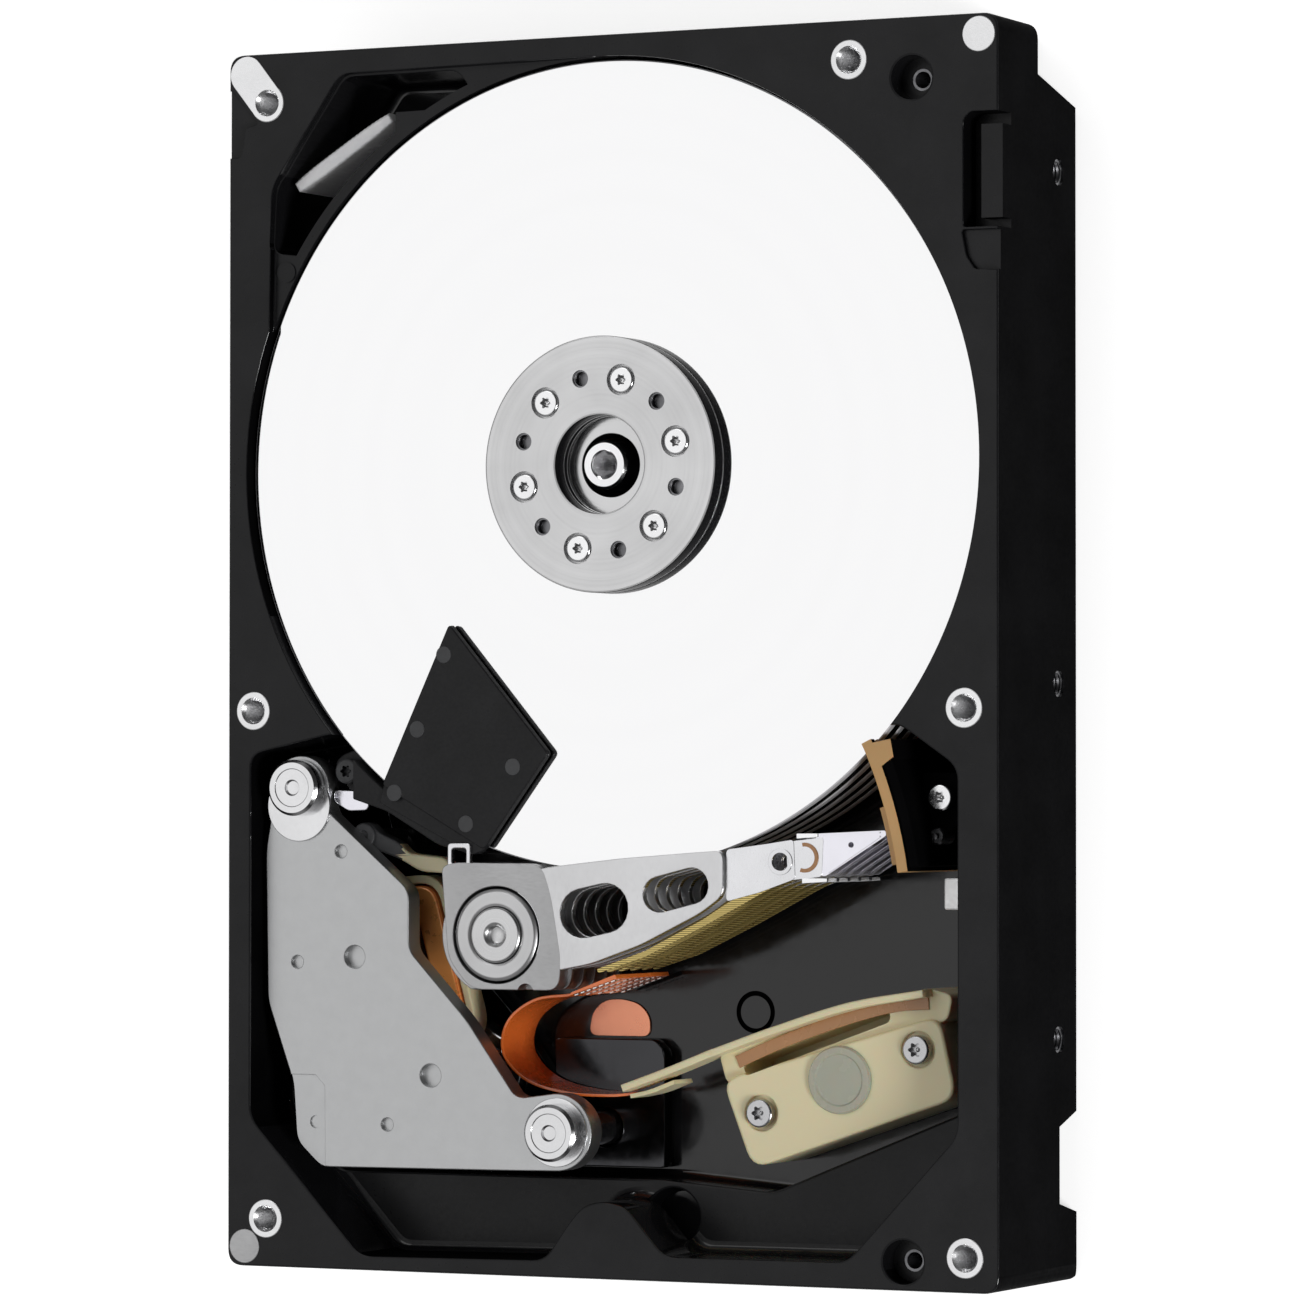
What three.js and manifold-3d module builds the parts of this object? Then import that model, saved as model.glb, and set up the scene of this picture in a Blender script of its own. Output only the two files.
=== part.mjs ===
// Opened 3.5 inch hard disk drive, cover off. Millimetres, +Z out of the open face, +Y towards the
// far end, connectors at -Y. The origin is the middle of the underside.
import * as THREE from 'three';
import { mergeVertices } from 'three/addons/utils/BufferGeometryUtils.js';
import Module from 'manifold-3d';

const wasm = await Module();
wasm.setup();

// ---- driving dimensions ----------------------------------------------------------------------

const HALF_WIDTH = 50.8;
const HALF_LENGTH = 73.5;
const RIM_Z = 24.3;
const ABOVE = 30;
const FLOOR_Z = 6.6;
const LEDGE_Z = 14;
const BOARD_RECESS_Z = 4;
const GAP = 0.3;
const CASTING_CORNER = 2;

const SPINDLE = [0, 22.6];
const PLATTERS = 5;
const PLATTER_RADIUS = 48;
const PLATTER_THICKNESS = 1.27;
const PLATTER_PITCH = 3.1;
const TOP_PLATTER_Z = 22.8;
const STACK_GAP = 0.1;
const HUB_RADIUS = 12.2;
const HUB_BORE = 3.8;
const HUB_FLOOR_Z = 22;
const PLATTER_BORE = 12.5;
const BAY_RADIUS = 48.35;
const SHROUD_WALL = 1.25;
const SHELF_Z = 23.2;
const FILTER_WELL_Z = 9;
const DISK_CLEARANCE = 0.6;
const CLAMP_RADIUS = 15.2;
const CLAMP_BORE = 5.85;
const CLAMP_TOP_Z = 25.1;
const CLAMP_SCREW_CIRCLE = 10.3;
const CLAMP_SCREW_START = 14;
const CLAMP_SCREWS = 6;
const BALANCE_CIRCLE = 10.45;
const SCREW_SHANK = 0.75;

const PIVOT = [-14.1, -33.1];
const PARK_ANGLE = 13.5;
const ARM_THICKNESS = 1;
const COMB_TOP_Z = 24.2;
const COMB_BOTTOM_Z = 7.6;
const BEARING_RADIUS = 5.5;
const COMB_RADIUS = 7.3;
const TIP_RADIUS = 51.8;
const SLIDER_RADIUS = 48.6;

const COIL_ANGLE = 195;
const COIL_HALF_ANGLE = 24;
const COIL_INNER = 10.8;
const COIL_WIDTH = 4.4;
const COIL_CENTRE = 21;
const COIL_Z = [11.8, 15.8];
const YOKE_TOP = [19, 21.9];
const YOKE_BOTTOM = [6.9, 9];
const POST_UPPER_LEFT = [-42.1, -15.6];
const POST_LOWER_RIGHT = [-7.2, -56.5];
const POST_HOLE = 2.4;
const MAGNET_REACH = [14.2, 28.6];
const MAGNET_SWEEP = [172, 258];
const LATCH_PIN = [-35.1, -21.4];

const SIDE_HOLE_Z = 6.35;
const SIDE_HOLES_Y = [-45, -3.4, 56.6];
const MOUNTING_HOLE = 1.6;
const BOTTOM_HOLE_X = 47.63;
const BOTTOM_HOLES_Y = [-32.2, 12.25];
const COVER_HOLES = [[-45.5, 67.5], [32, 68.9], [-47.3, -6.3], [46.5, -6.4],
  [-45.5, -67.7], [46.6, -69.5]];
const SUNK_HOLES = [[39.9, 66.5], [38.8, -70.2]];
const BOARD_SCREWS = [[-40.5, -52], [40.5, -62], [-40.5, 14], [40.5, 14]];
const BRACKET_SCREWS = { left: [17.8, -53.8], right: [37.9, -46] };
const SCREW_CLEARANCE = 1.05;
const CHIP_Z = [0.9, 2.1];
const BOARD_Z = [2.4, 3.5];

// ---- colours ---------------------------------------------------------------------------------

function finish(color, roughness, metalness) {
  return new THREE.MeshStandardMaterial({ color, roughness, metalness });
}

const COAT = finish(0x16171a, 0.35, 0.1);
const MIRROR = finish(0xf2f3f5, 0.06, 1);
const SATIN = finish(0xc9cbcd, 0.32, 1);
const NICKEL = finish(0xb6b8ba, 0.38, 1);
const BRIGHT = finish(0xe2e3e5, 0.15, 1);
const COPPER = finish(0xb35a2c, 0.3, 1);
const AMBER = finish(0xb35318, 0.3, 0.1);
const TAN = finish(0xa87b45, 0.5, 0);
const CREAM = finish(0xcbc39b, 0.45, 0);
const DARK_PLASTIC = finish(0x232428, 0.6, 0);
const PAD = finish(0xc9cad6, 0.9, 0);
const BOARD = finish(0x1c5a3a, 0.5, 0);

// ---- solids ----------------------------------------------------------------------------------

const radians = THREE.MathUtils.degToRad;

function solidOf(geometry) {
  const bare = geometry.index ? geometry.toNonIndexed() : geometry.clone();
  bare.deleteAttribute('normal');
  bare.deleteAttribute('uv');
  const merged = mergeVertices(bare, 1e-4);
  return new wasm.Manifold(new wasm.Mesh({
    numProp: 3,
    vertProperties: new Float32Array(merged.attributes.position.array),
    triVerts: new Uint32Array(merged.index.array),
  }));
}

function geometryOf(manifold) {
  const mesh = manifold.getMesh();
  const geometry = new THREE.BufferGeometry();
  geometry.setAttribute('position', new THREE.BufferAttribute(mesh.vertProperties, 3));
  geometry.setIndex(new THREE.BufferAttribute(mesh.triVerts, 1));
  geometry.computeVertexNormals();
  return geometry;
}

// Outline through the corners, each rounded by up to `radius`.
function rounded(corners, radius, steps = 2) {
  const points = [];
  corners.forEach((corner, i) => {
    const at = new THREE.Vector2(...corner);
    const before = new THREE.Vector2(...corners.at(i - 1)).sub(at);
    const after = new THREE.Vector2(...corners[(i + 1) % corners.length]).sub(at);
    const reach = Math.min(radius, before.length() * 0.45, after.length() * 0.45);
    const start = at.clone().addScaledVector(before.normalize(), reach);
    const end = at.clone().addScaledVector(after.normalize(), reach);
    points.push(...new THREE.QuadraticBezierCurve(start, at, end).getPoints(steps));
  });
  return points;
}

const outline = (points) => points.map((p) => (p.isVector2 ? p : new THREE.Vector2(...p)));

function prism(points, bottom, top) {
  const shape = new THREE.Shape(outline(points));
  const geometry = new THREE.ExtrudeGeometry(shape, { depth: top - bottom, bevelEnabled: false });
  return solidOf(geometry.translate(0, 0, bottom));
}

function cylinder([x, y], radius, bottom, top, sides = 20) {
  const geometry = new THREE.CylinderGeometry(radius, radius, top - bottom, sides);
  return solidOf(geometry.rotateX(Math.PI / 2).translate(x, y, (bottom + top) / 2));
}

function box([x0, x1], [y0, y1], [z0, z1]) {
  const geometry = new THREE.BoxGeometry(x1 - x0, y1 - y0, z1 - z0);
  return solidOf(geometry.translate((x0 + x1) / 2, (y0 + y1) / 2, (z0 + z1) / 2));
}

// Turned piece: profile of [radius, z] pairs, closed on itself or running from axis to axis.
function turned([x, y], profile, sides = 28) {
  const points = profile.map(([r, z]) => new THREE.Vector2(r, z));
  if (profile[0][0] > 0) points.push(points[0].clone());
  const geometry = new THREE.LatheGeometry(points, sides).rotateX(Math.PI / 2);
  return solidOf(geometry.translate(x, y, 0));
}

const ring = (centre, inner, outer, bottom, top, sides = 28) =>
  turned(centre, [[inner, bottom], [outer, bottom], [outer, top], [inner, top]], sides);

// Slot with round ends, tilted in the plane.
function slot([x, y], length, width, tilt, bottom, top) {
  const half = (length - width) / 2;
  const corners = [];
  for (let side = 0; side < 2; side += 1) {
    for (let step = 0; step <= 6; step += 1) {
      const angle = -Math.PI / 2 + Math.PI * (side + step / 6);
      const shift = side === 0 ? half : -half;
      corners.push(new THREE.Vector2(shift + Math.cos(angle) * width / 2, Math.sin(angle) * width / 2));
    }
  }
  const turn = radians(tilt);
  corners.forEach((p) => p.rotateAround(new THREE.Vector2(), turn).add(new THREE.Vector2(x, y)));
  return prism(corners, bottom, top);
}

const polar = ([x, y], radius, degrees) =>
  [x + radius * Math.cos(radians(degrees)), y + radius * Math.sin(radians(degrees))];

// Ring sector about a centre, with straight ends.
function sector(centre, inner, outer, from, to, bottom, top, steps = 8) {
  const corners = [];
  for (let i = 0; i <= steps; i += 1) corners.push(polar(centre, outer, from + (to - from) * i / steps));
  for (let i = steps; i >= 0; i -= 1) corners.push(polar(centre, inner, from + (to - from) * i / steps));
  return prism(corners, bottom, top);
}

// Ribbon of even width along a smooth path in plan.
function ribbon(path, width, bottom, top, steps) {
  const curve = new THREE.CatmullRomCurve3(path.map(([x, y]) => new THREE.Vector3(x, y, 0)));
  const left = [];
  const right = [];
  for (let i = 0; i <= steps; i += 1) {
    const at = curve.getPointAt(i / steps);
    const along = curve.getTangentAt(i / steps);
    left.push([at.x - along.y * width / 2, at.y + along.x * width / 2]);
    right.unshift([at.x + along.y * width / 2, at.y - along.x * width / 2]);
  }
  return prism([...left, ...right], bottom, top);
}

const drive = new THREE.Group();
drive.name = 'hard_disk_drive';
const base = new THREE.Group();
const spindle = new THREE.Group();
const actuator = new THREE.Group();
const latch = new THREE.Group();
drive.add(base, spindle, actuator, latch);

function addPiece(group, name, solid, material) {
  const mesh = new THREE.Mesh(geometryOf(solid), material);
  mesh.name = name;
  group.add(mesh);
}

// ---- base deck -------------------------------------------------------------------------------

function deckBlank() {
  const edge = [[-HALF_WIDTH, -HALF_LENGTH], [HALF_WIDTH, -HALF_LENGTH],
    [HALF_WIDTH, HALF_LENGTH], [-HALF_WIDTH, HALF_LENGTH]];
  return prism(rounded(edge, CASTING_CORNER), 0, RIM_Z);
}

// Corner pocket beside the platters: a shallow shelf, and a deep well behind a thin shroud wall.
function filterPocket() {
  const shelf = rounded([[0, 71], [-35.5, 70.6], [-44.9, 57.2], [-45.4, 30], [-30, 50]], 1.5);
  const well = rounded([[-19, 70.2], [-35.3, 70.3], [-44.7, 57.1], [-45.1, 49.3], [-39, 48.6], [-28.4, 60],
    [-28.4, 65.7], [-22.6, 65.8], [-18.8, 67.8]], 0.8);
  const shroud = cylinder(SPINDLE, BAY_RADIUS + SHROUD_WALL, 0, ABOVE, 80);
  return prism(shelf, SHELF_Z, ABOVE).add(prism(well, FILTER_WELL_Z, ABOVE).subtract(shroud));
}

// Bay of the actuator: ledges near the connector end and a deep floor under arms, magnets and flex.
function actuatorBay() {
  const mouth = rounded([[-47.7, -11.6], [-47.7, -55.5], [-32.4, -71.8], [-7.6, -71.5], [-4.6, -67.2],
    [-2.6, -64.9], [0.2, -64.3], [3.2, -64.9], [5.2, -67.2], [8.2, -70.6], [31.6, -70.5],
    [45.6, -55.5], [45.6, -13.2], [38, -8], [0, -20], [-36, -9]], 1.6);
  const well = rounded([[-47.5, -11.8], [-47.3, -54.5], [-41, -62.2], [2.4, -62.2], [17.4, -63.4],
    [44.9, -52.2], [45.2, -13.6], [37, -9], [0, -18], [-36, -10]], 1.4);
  const drain = cylinder([4.4, -66.6], 3.4, LEDGE_Z - 3, ABOVE, 24);
  return prism(mouth, LEDGE_Z, ABOVE).add(prism(well, FLOOR_Z, ABOVE)).add(drain);
}

// Notches of the rim with a pad left standing in the largest, cover holes and two sunk holes.
function rimDetails() {
  const recess = rounded([[46.4, 48.9], [46.4, 61.3], [47.3, 62.2], [52, 62.2], [52, 48.9]], 0.4);
  const pad = box([48.15, 52], [50, 60.8], [0, 23]);
  const step = prism([[46.2, 48.6], [52, 48.6], [52, 43.9], [47.9, 44], [46.8, 45.6]], 23.6, ABOVE);
  const corner = [[-52, 69.2], [-50.4, 69.2], [-46.8, 65], [-48.6, 64.6], [-48.9, 62.3],
    [-49.3, 61], [-52, 61]];
  let cuts = prism(recess, 20.5, ABOVE).subtract(pad).add(step).add(prism(corner, RIM_Z - 0.5, ABOVE));
  COVER_HOLES.forEach((at) => {
    cuts = cuts.add(cylinder(at, 1.3, LEDGE_Z, ABOVE, 10));
  });
  SUNK_HOLES.forEach((at) => {
    cuts = cuts.add(cylinder(at, 2.5, 21.2, ABOVE, 14)).add(cylinder(at, 1.3, LEDGE_Z, ABOVE, 10));
  });
  return cuts;
}

// Cutter with an outline in (y, z), reaching `deep` into one side.
function railCut(side, corners, deep) {
  const shape = new THREE.Shape(outline(corners));
  const cut = new THREE.ExtrudeGeometry(shape, { depth: deep + 1, bevelEnabled: false });
  cut.rotateY(Math.PI / 2).rotateX(Math.PI / 2);
  return solidOf(cut.translate(side > 0 ? HALF_WIDTH - deep : -HALF_WIDTH - 1, 0, 0));
}

// Cutter along the whole lower edge of one side.
function edgeBevel(side) {
  const shape = new THREE.Shape(outline([[side * 50.1, -0.1], [side * 51, -0.1], [side * 51, 1.4]]));
  const cut = new THREE.ExtrudeGeometry(shape, { depth: 160, bevelEnabled: false });
  return solidOf(cut.rotateX(Math.PI / 2).translate(0, 80, 0));
}

function sideDetails() {
  const cuts = [];
  [-1, 1].forEach((side) => {
    SIDE_HOLES_Y.forEach((y) => {
      const hole = new THREE.CylinderGeometry(MOUNTING_HOLE, MOUNTING_HOLE, 8, 12).rotateZ(Math.PI / 2);
      cuts.push(solidOf(hole.translate(side * (HALF_WIDTH + 0.2), y, SIDE_HOLE_Z)));
    });
    cuts.push(railCut(side, [[64.4, -1], [64.4, 0], [67.5, 12.5], [80, 12.5], [80, -1]], 5.6));
    const foot = [[-65.6, -1], [-65.6, 0], [-64.2, 6.2], [-55.2, 6.2], [-53.2, 0], [-53.2, -1]];
    cuts.push(railCut(side, foot, 4.5));
    cuts.push(edgeBevel(side));
    BOTTOM_HOLES_Y.forEach((y) => {
      cuts.push(cylinder([side * BOTTOM_HOLE_X, y], MOUNTING_HOLE, -1, 4.2, 12));
    });
  });
  return cuts;
}

// Underside: board recess with a round bay for the motor, a shallow cast relief beyond it.
function undersideCuts() {
  const recess = rounded([[-45.2, -75], [45.2, -75], [45.2, 21.5], [-45.2, 21.5]], 2);
  const relief = rounded([[-44, 26], [44, 26], [44, 58], [30, 68.5], [-30, 68.5], [-44, 58]], 3);
  const keep = cylinder(SPINDLE, 15.5, -1, BOARD_RECESS_Z, 32);
  const dish = ring(SPINDLE, 9.5, 13.5, -1, 3.2, 32);
  const plugPocket = box([-42.6, 1.2], [-75, -64.6], [-1, 9.6]);
  let cuts = prism(recess, -1, BOARD_RECESS_Z).add(prism(relief, -1, 3)).subtract(keep);
  cuts = cuts.add(dish).add(plugPocket);
  BOARD_SCREWS.forEach((at) => {
    cuts = cuts.add(cylinder(at, SCREW_CLEARANCE, 3, 5.2, 10));
  });
  return cuts;
}

function baseDeck() {
  let deck = deckBlank();
  deck = deck.subtract(cylinder(SPINDLE, BAY_RADIUS, FLOOR_Z, ABOVE, 80));
  deck = deck.subtract(filterPocket()).subtract(actuatorBay()).subtract(rimDetails());
  sideDetails().forEach((cut) => {
    deck = deck.subtract(cut);
  });
  return deck.subtract(undersideCuts());
}

addPiece(base, 'base_deck', baseDeck(), COAT);

// Filter pad standing on edge across the corner pocket.
const FILTER = rounded([[-43.4, 57.9], [-42.6, 56.5], [-29.3, 64.7], [-30, 66.1]], 0.6);
addPiece(base, 'recirculation_filter', prism(FILTER, FILTER_WELL_Z + 0.3, 21.8), PAD);

// ---- spindle ---------------------------------------------------------------------------------

const platterTop = (i) => TOP_PLATTER_Z - PLATTER_PITCH * i;
const lowestPlatter = platterTop(PLATTERS - 1) - PLATTER_THICKNESS;

addPiece(base, 'motor_shaft', turned(SPINDLE, [[0, 6.9], [4.4, 6.9], [4.4, 8.4], [2.9, 8.8], [2.9, 23.4],
  [2.5, 23.8], [1.6, 23.8], [1.6, 17], [0, 16]], 20), BRIGHT);

// Nine wound teeth around a core, as [radius, part of a tooth] pairs.
function statorOutline() {
  const teeth = 9;
  const tooth = [[6.4, -0.5], [6.4, -0.16], [8.6, -0.12], [8.8, -0.36], [9.8, -0.34], [9.8, 0.34],
    [8.8, 0.36], [8.6, 0.12], [6.4, 0.16]];
  const points = [];
  for (let i = 0; i < teeth; i += 1) {
    tooth.forEach(([radius, part]) => points.push(polar(SPINDLE, radius, (i + part) * 360 / teeth)));
  }
  return points;
}
const stator = prism(statorOutline(), 6.9, 15.2).subtract(cylinder(SPINDLE, 5.2, 6, 16, 16));
addPiece(base, 'motor_stator', stator, COPPER);

// The same round hole at every clamp screw.
function screwWells(radius, bottom, top) {
  const wells = [];
  for (let i = 0; i < CLAMP_SCREWS; i += 1) {
    const at = polar(SPINDLE, CLAMP_SCREW_CIRCLE, CLAMP_SCREW_START + i * 360 / CLAMP_SCREWS);
    wells.push(cylinder(at, radius, bottom, top, 10));
  }
  return wasm.Manifold.union(wells);
}

function rotorHub() {
  const under = lowestPlatter - STACK_GAP;
  const profile = [[HUB_BORE, HUB_FLOOR_Z], [HUB_BORE, 10], [4.8, 10], [4.8, 16.4], [10.4, 16.4],
    [10.4, 7.3], [15.6, 7.3], [15.6, under], [HUB_RADIUS, under], [HUB_RADIUS, 22.7],
    [CLAMP_BORE, 22.7], [CLAMP_BORE, HUB_FLOOR_Z]];
  return turned(SPINDLE, profile, 28).subtract(screwWells(0.95, 16.9, ABOVE));
}
addPiece(spindle, 'hub', rotorHub(), SATIN);

for (let i = 0; i < PLATTERS; i += 1) {
  const top = platterTop(i);
  addPiece(spindle, `platter_${i + 1}`,
    ring(SPINDLE, PLATTER_BORE, PLATTER_RADIUS, top - PLATTER_THICKNESS, top, 64), MIRROR);
  if (i < PLATTERS - 1) {
    const under = top - PLATTER_THICKNESS - STACK_GAP;
    addPiece(spindle, `spacer_${i + 1}`,
      ring(SPINDLE, PLATTER_BORE, CLAMP_RADIUS, platterTop(i + 1) + STACK_GAP, under, 24), SATIN);
  }
}

function diskClamp() {
  const bottom = TOP_PLATTER_Z + STACK_GAP;
  const chamfer = 0.25;
  let clamp = turned(SPINDLE, [[CLAMP_BORE, bottom], [CLAMP_RADIUS, bottom],
    [CLAMP_RADIUS, CLAMP_TOP_Z - chamfer], [CLAMP_RADIUS - chamfer, CLAMP_TOP_Z],
    [CLAMP_BORE + chamfer, CLAMP_TOP_Z], [CLAMP_BORE, CLAMP_TOP_Z - chamfer]], 40);
  clamp = clamp.subtract(screwWells(1.15, 20, ABOVE)).subtract(screwWells(1.8, CLAMP_TOP_Z - 0.9, ABOVE));
  for (let i = 0; i < CLAMP_SCREWS; i += 1) {
    const at = polar(SPINDLE, BALANCE_CIRCLE, CLAMP_SCREW_START + (i + 0.5) * 360 / CLAMP_SCREWS);
    clamp = clamp.subtract(cylinder(at, 1.05, CLAMP_TOP_Z - 1.4, ABOVE, 10));
  }
  return clamp;
}
addPiece(spindle, 'disk_clamp', diskClamp(), NICKEL);

// Screw standing on its shank, with a round socket in its head.
function screw(at, { head, top, seat, bottom, deep = 0.5 }) {
  const socket = 0.65;
  return turned(at, [[0, bottom], [SCREW_SHANK, bottom], [SCREW_SHANK, seat], [head, seat], [head, top],
    [socket, top], [socket, top - deep], [0, top - deep]], 10);
}

for (let i = 0; i < CLAMP_SCREWS; i += 1) {
  const at = polar(SPINDLE, CLAMP_SCREW_CIRCLE, CLAMP_SCREW_START + i * 360 / CLAMP_SCREWS);
  addPiece(spindle, `clamp_screw_${i + 1}`, screw(at, { head: 1.6, top: CLAMP_TOP_Z - 0.02,
    seat: CLAMP_TOP_Z - 0.8, bottom: 17.3, deep: 0.4 }), BRIGHT);
}

// ---- actuator --------------------------------------------------------------------------------

const armLevel = (i) => TOP_PLATTER_Z + 0.92 - PLATTER_PITCH * i;
const BOSS = rounded([[-21.5, -25], [-19.8, -24.5], [-8, -24.6], [-6.7, -28.5], [-5.4, -36], [-5.8, -39.6],
  [-17.6, -39.6], [-20.6, -36]], 1.6, 1);
const ARM_BLADE = rounded([[-12, -26], [-7.4, -25], [2.4, -23.9], [12.8, -23.1], [15.8, -22.9],
  [15.8, -28.2], [12.8, -30.3], [5, -34.1], [-1.6, -36.4], [-8, -37.6]], 0.5, 1);

function armComb() {
  let comb = cylinder(PIVOT, COMB_RADIUS, COMB_BOTTOM_Z, COMB_TOP_Z, 24)
    .intersect(box([-40, 0], [-39.6, -20], [0, ABOVE]));
  const wing = rounded([[-20.6, -34], [-17.6, -39.6], [-6.4, -39.6], [-5.6, -36], [-14, -32]], 1, 1);
  comb = comb.add(prism(wing, COMB_BOTTOM_Z, COMB_TOP_Z));
  for (let i = 0; i <= PLATTERS; i += 1) {
    const low = armLevel(i) - ARM_THICKNESS / 2;
    comb = comb.add(prism(ARM_BLADE, low, low + ARM_THICKNESS));
    comb = comb.add(prism(BOSS, low, low + ARM_THICKNESS));
  }
  comb = comb.subtract(slot([-1.1, -30.1], 9, 5.8, 12, 0, ABOVE));
  comb = comb.subtract(slot([9.6, -27.6], 8.6, 4.2, 14, 0, ABOVE));
  comb = comb.add(sector(PIVOT, 6.9, COIL_INNER - 1.9, COIL_ANGLE - 30, COIL_ANGLE + 30, ...COIL_Z, 5));
  comb = comb.subtract(cylinder([-10.2, -39.9], 1.1, 22, ABOVE, 12));
  return comb.subtract(cylinder(PIVOT, BEARING_RADIUS + GAP, 0, ABOVE, 24));
}
addPiece(actuator, 'arm_comb', armComb(), SATIN);

addPiece(actuator, 'pivot_bearing', turned(PIVOT, [[3.6, 8], [BEARING_RADIUS, 8], [BEARING_RADIUS, 24.1],
  [4.9, 24.4], [3.6, 24.4]], 28), BRIGHT);
addPiece(base, 'pivot_shaft', turned(PIVOT, [[0, 6.9], [3.3, 6.9], [3.3, 24.3], [3, 24.6], [1.8, 24.6],
  [1.8, 23.4], [0, 23.4]], 20), BRIGHT);

// Winding seen from the pivot, wide at its near end; grown outwards by `grow`.
function coilLoop(grow) {
  const corners = [[14.2, -1.64], [28.2, -1], [29, -0.5], [29, 0.5], [28.2, 1], [14.2, 1.64]];
  const points = corners.map(([r, part]) => polar(PIVOT, r, COIL_ANGLE + part * COIL_HALF_ANGLE));
  const centre = new THREE.Vector2(...polar(PIVOT, COIL_CENTRE, COIL_ANGLE));
  return rounded(points.map(([x, y]) => {
    const out = new THREE.Vector2(x, y).sub(centre);
    return out.setLength(out.length() + grow).add(centre).toArray();
  }), 2.4 + grow / 2);
}

// Overmoulded rim around the winding, hollowed for the arm comb.
function coilFrame() {
  const rim = prism(coilLoop(1.6), COIL_Z[0] + 0.3, COIL_Z[1] - 0.3);
  const hollow = prism(coilLoop(0.3), 0, ABOVE).add(cylinder(PIVOT, COIL_INNER - 1.6, 0, ABOVE, 28));
  return rim.subtract(hollow);
}
const winding = prism(coilLoop(0), ...COIL_Z).subtract(prism(coilLoop(-COIL_WIDTH), 0, ABOVE));
addPiece(actuator, 'voice_coil', winding, COPPER);
addPiece(actuator, 'coil_frame', coilFrame(), CREAM);

// Small board on the side of the arm comb, where the head wires end.
addPiece(actuator, 'head_flex_board',
  prism(rounded([[-5.2, -40.3], [1.1, -38.1], [0.9, -37.5], [-5, -39.9]], 0.2), 8.4, 22.6), AMBER);

// Suspension: stamped beam with slider near its tip and a wire tail along the arm.
const SUSPENSION = [[16.1, -22.9], [21.9, -22], [29.6, -20.8], [36, -20.6], [36.1, -21.3], [32.1, -23.2],
  [25.7, -25], [20.6, -27.6], [12.9, -31.6], [5.2, -35.3], [-1, -37.3], [-1.2, -36.9], [5.1, -34.7],
  [12.9, -30.8], [16.1, -28.9]];

function suspension(level, faces) {
  const near = level + faces * 0.15;
  const far = level + faces * 0.4;
  const beam = prism(SUSPENSION, Math.min(near, far), Math.max(near, far));
  const [x, y] = polar(PIVOT, SLIDER_RADIUS, PARK_ANGLE);
  const height = faces > 0 ? [far - 0.1, far + 0.25] : [far - 0.25, far + 0.1];
  const slider = box([x - 0.6, x + 0.6], [y - 0.5, y + 0.5], height);
  return beam.subtract(cylinder([22.9, -24.2], 1.1, 0, ABOVE, 8)).add(slider);
}

// Heads face down onto a platter's top side or up onto its underside.
for (let i = 0; i < PLATTERS; i += 1) {
  addPiece(actuator, `suspension_${2 * i + 1}`, suspension(armLevel(i), -1), NICKEL);
  addPiece(actuator, `suspension_${2 * i + 2}`, suspension(armLevel(i + 1), 1), NICKEL);
}

// ---- voice-coil motor --------------------------------------------------------------------------

// Round ear about a post, as part of a yoke outline.
function ear(post, radius, from, to) {
  const points = [];
  for (let degrees = from; degrees <= to; degrees += 20) points.push(polar(post, radius, degrees));
  return points;
}

const YOKE_LEFT = [[-46.9, -23.2], [-46.6, -41.4], [-43.1, -51.1], [-42.6, -58.3], [-39.2, -61.4],
  [-13.9, -61.2]];
const YOKE_RIGHT = [[-12.6, -52.6], [-19.3, -43.4], [-27.2, -35.1], [-27.2, -27.9]];

function withPostHoles(yoke) {
  return [POST_UPPER_LEFT, POST_LOWER_RIGHT].reduce(
    (left, post) => left.subtract(cylinder(post, POST_HOLE, 0, ABOVE, 12)), yoke);
}

function upperYoke() {
  const edge = [...YOKE_LEFT, ...ear(POST_LOWER_RIGHT, 4.6, -85, 95), ...YOKE_RIGHT, [-38.2, -18.6],
    ...ear(POST_UPPER_LEFT, 3.9, -20, 200)];
  let yoke = withPostHoles(prism(rounded(edge, 1), ...YOKE_TOP));
  const top = YOKE_TOP[1];
  [[-34.6, -36], [-24.2, -50.1]].forEach((at) => {
    yoke = yoke.subtract(cylinder(at, 1.45, top - 1, ABOVE, 12));
  });
  [[-36.5, -23.3], [-42.5, -36.7], [-40.1, -56], [-30.1, -56.1]].forEach((at) => {
    yoke = yoke.subtract(cylinder(at, 0.85, top - 0.5, ABOVE, 8));
  });
  const step = [[-48, -50.3], [-40, -50.3], [-38.7, -51.6], [-38.6, -63], [-48, -63]];
  return yoke.subtract(prism(step, top - 0.4, ABOVE));
}
addPiece(base, 'vcm_upper_yoke', upperYoke(), NICKEL);

function lowerYoke() {
  const edge = [...YOKE_LEFT, ...YOKE_RIGHT, [-38.5, -18.9]];
  const wing = rounded([[-14, -61.2], [0.8, -61.2], [0.8, -47.2], [-0.6, -45.8], [-14, -45.8]], 0.6);
  const foot = [[-46.4, -17], [-46.9, -24], [-36, -22], [-38.2, -14]];
  const yoke = prism(rounded(edge, 1), ...YOKE_BOTTOM).add(prism(wing, ...YOKE_BOTTOM));
  return withPostHoles(yoke.add(prism(foot, ...YOKE_BOTTOM)));
}
addPiece(base, 'vcm_lower_yoke', lowerYoke(), COAT);
addPiece(base, 'upper_magnet', sector(PIVOT, ...MAGNET_REACH, ...MAGNET_SWEEP, 16.9, 18.8), BRIGHT);
addPiece(base, 'lower_magnet', sector(PIVOT, ...MAGNET_REACH, ...MAGNET_SWEEP, 9.2, 10.9), BRIGHT);

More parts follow.
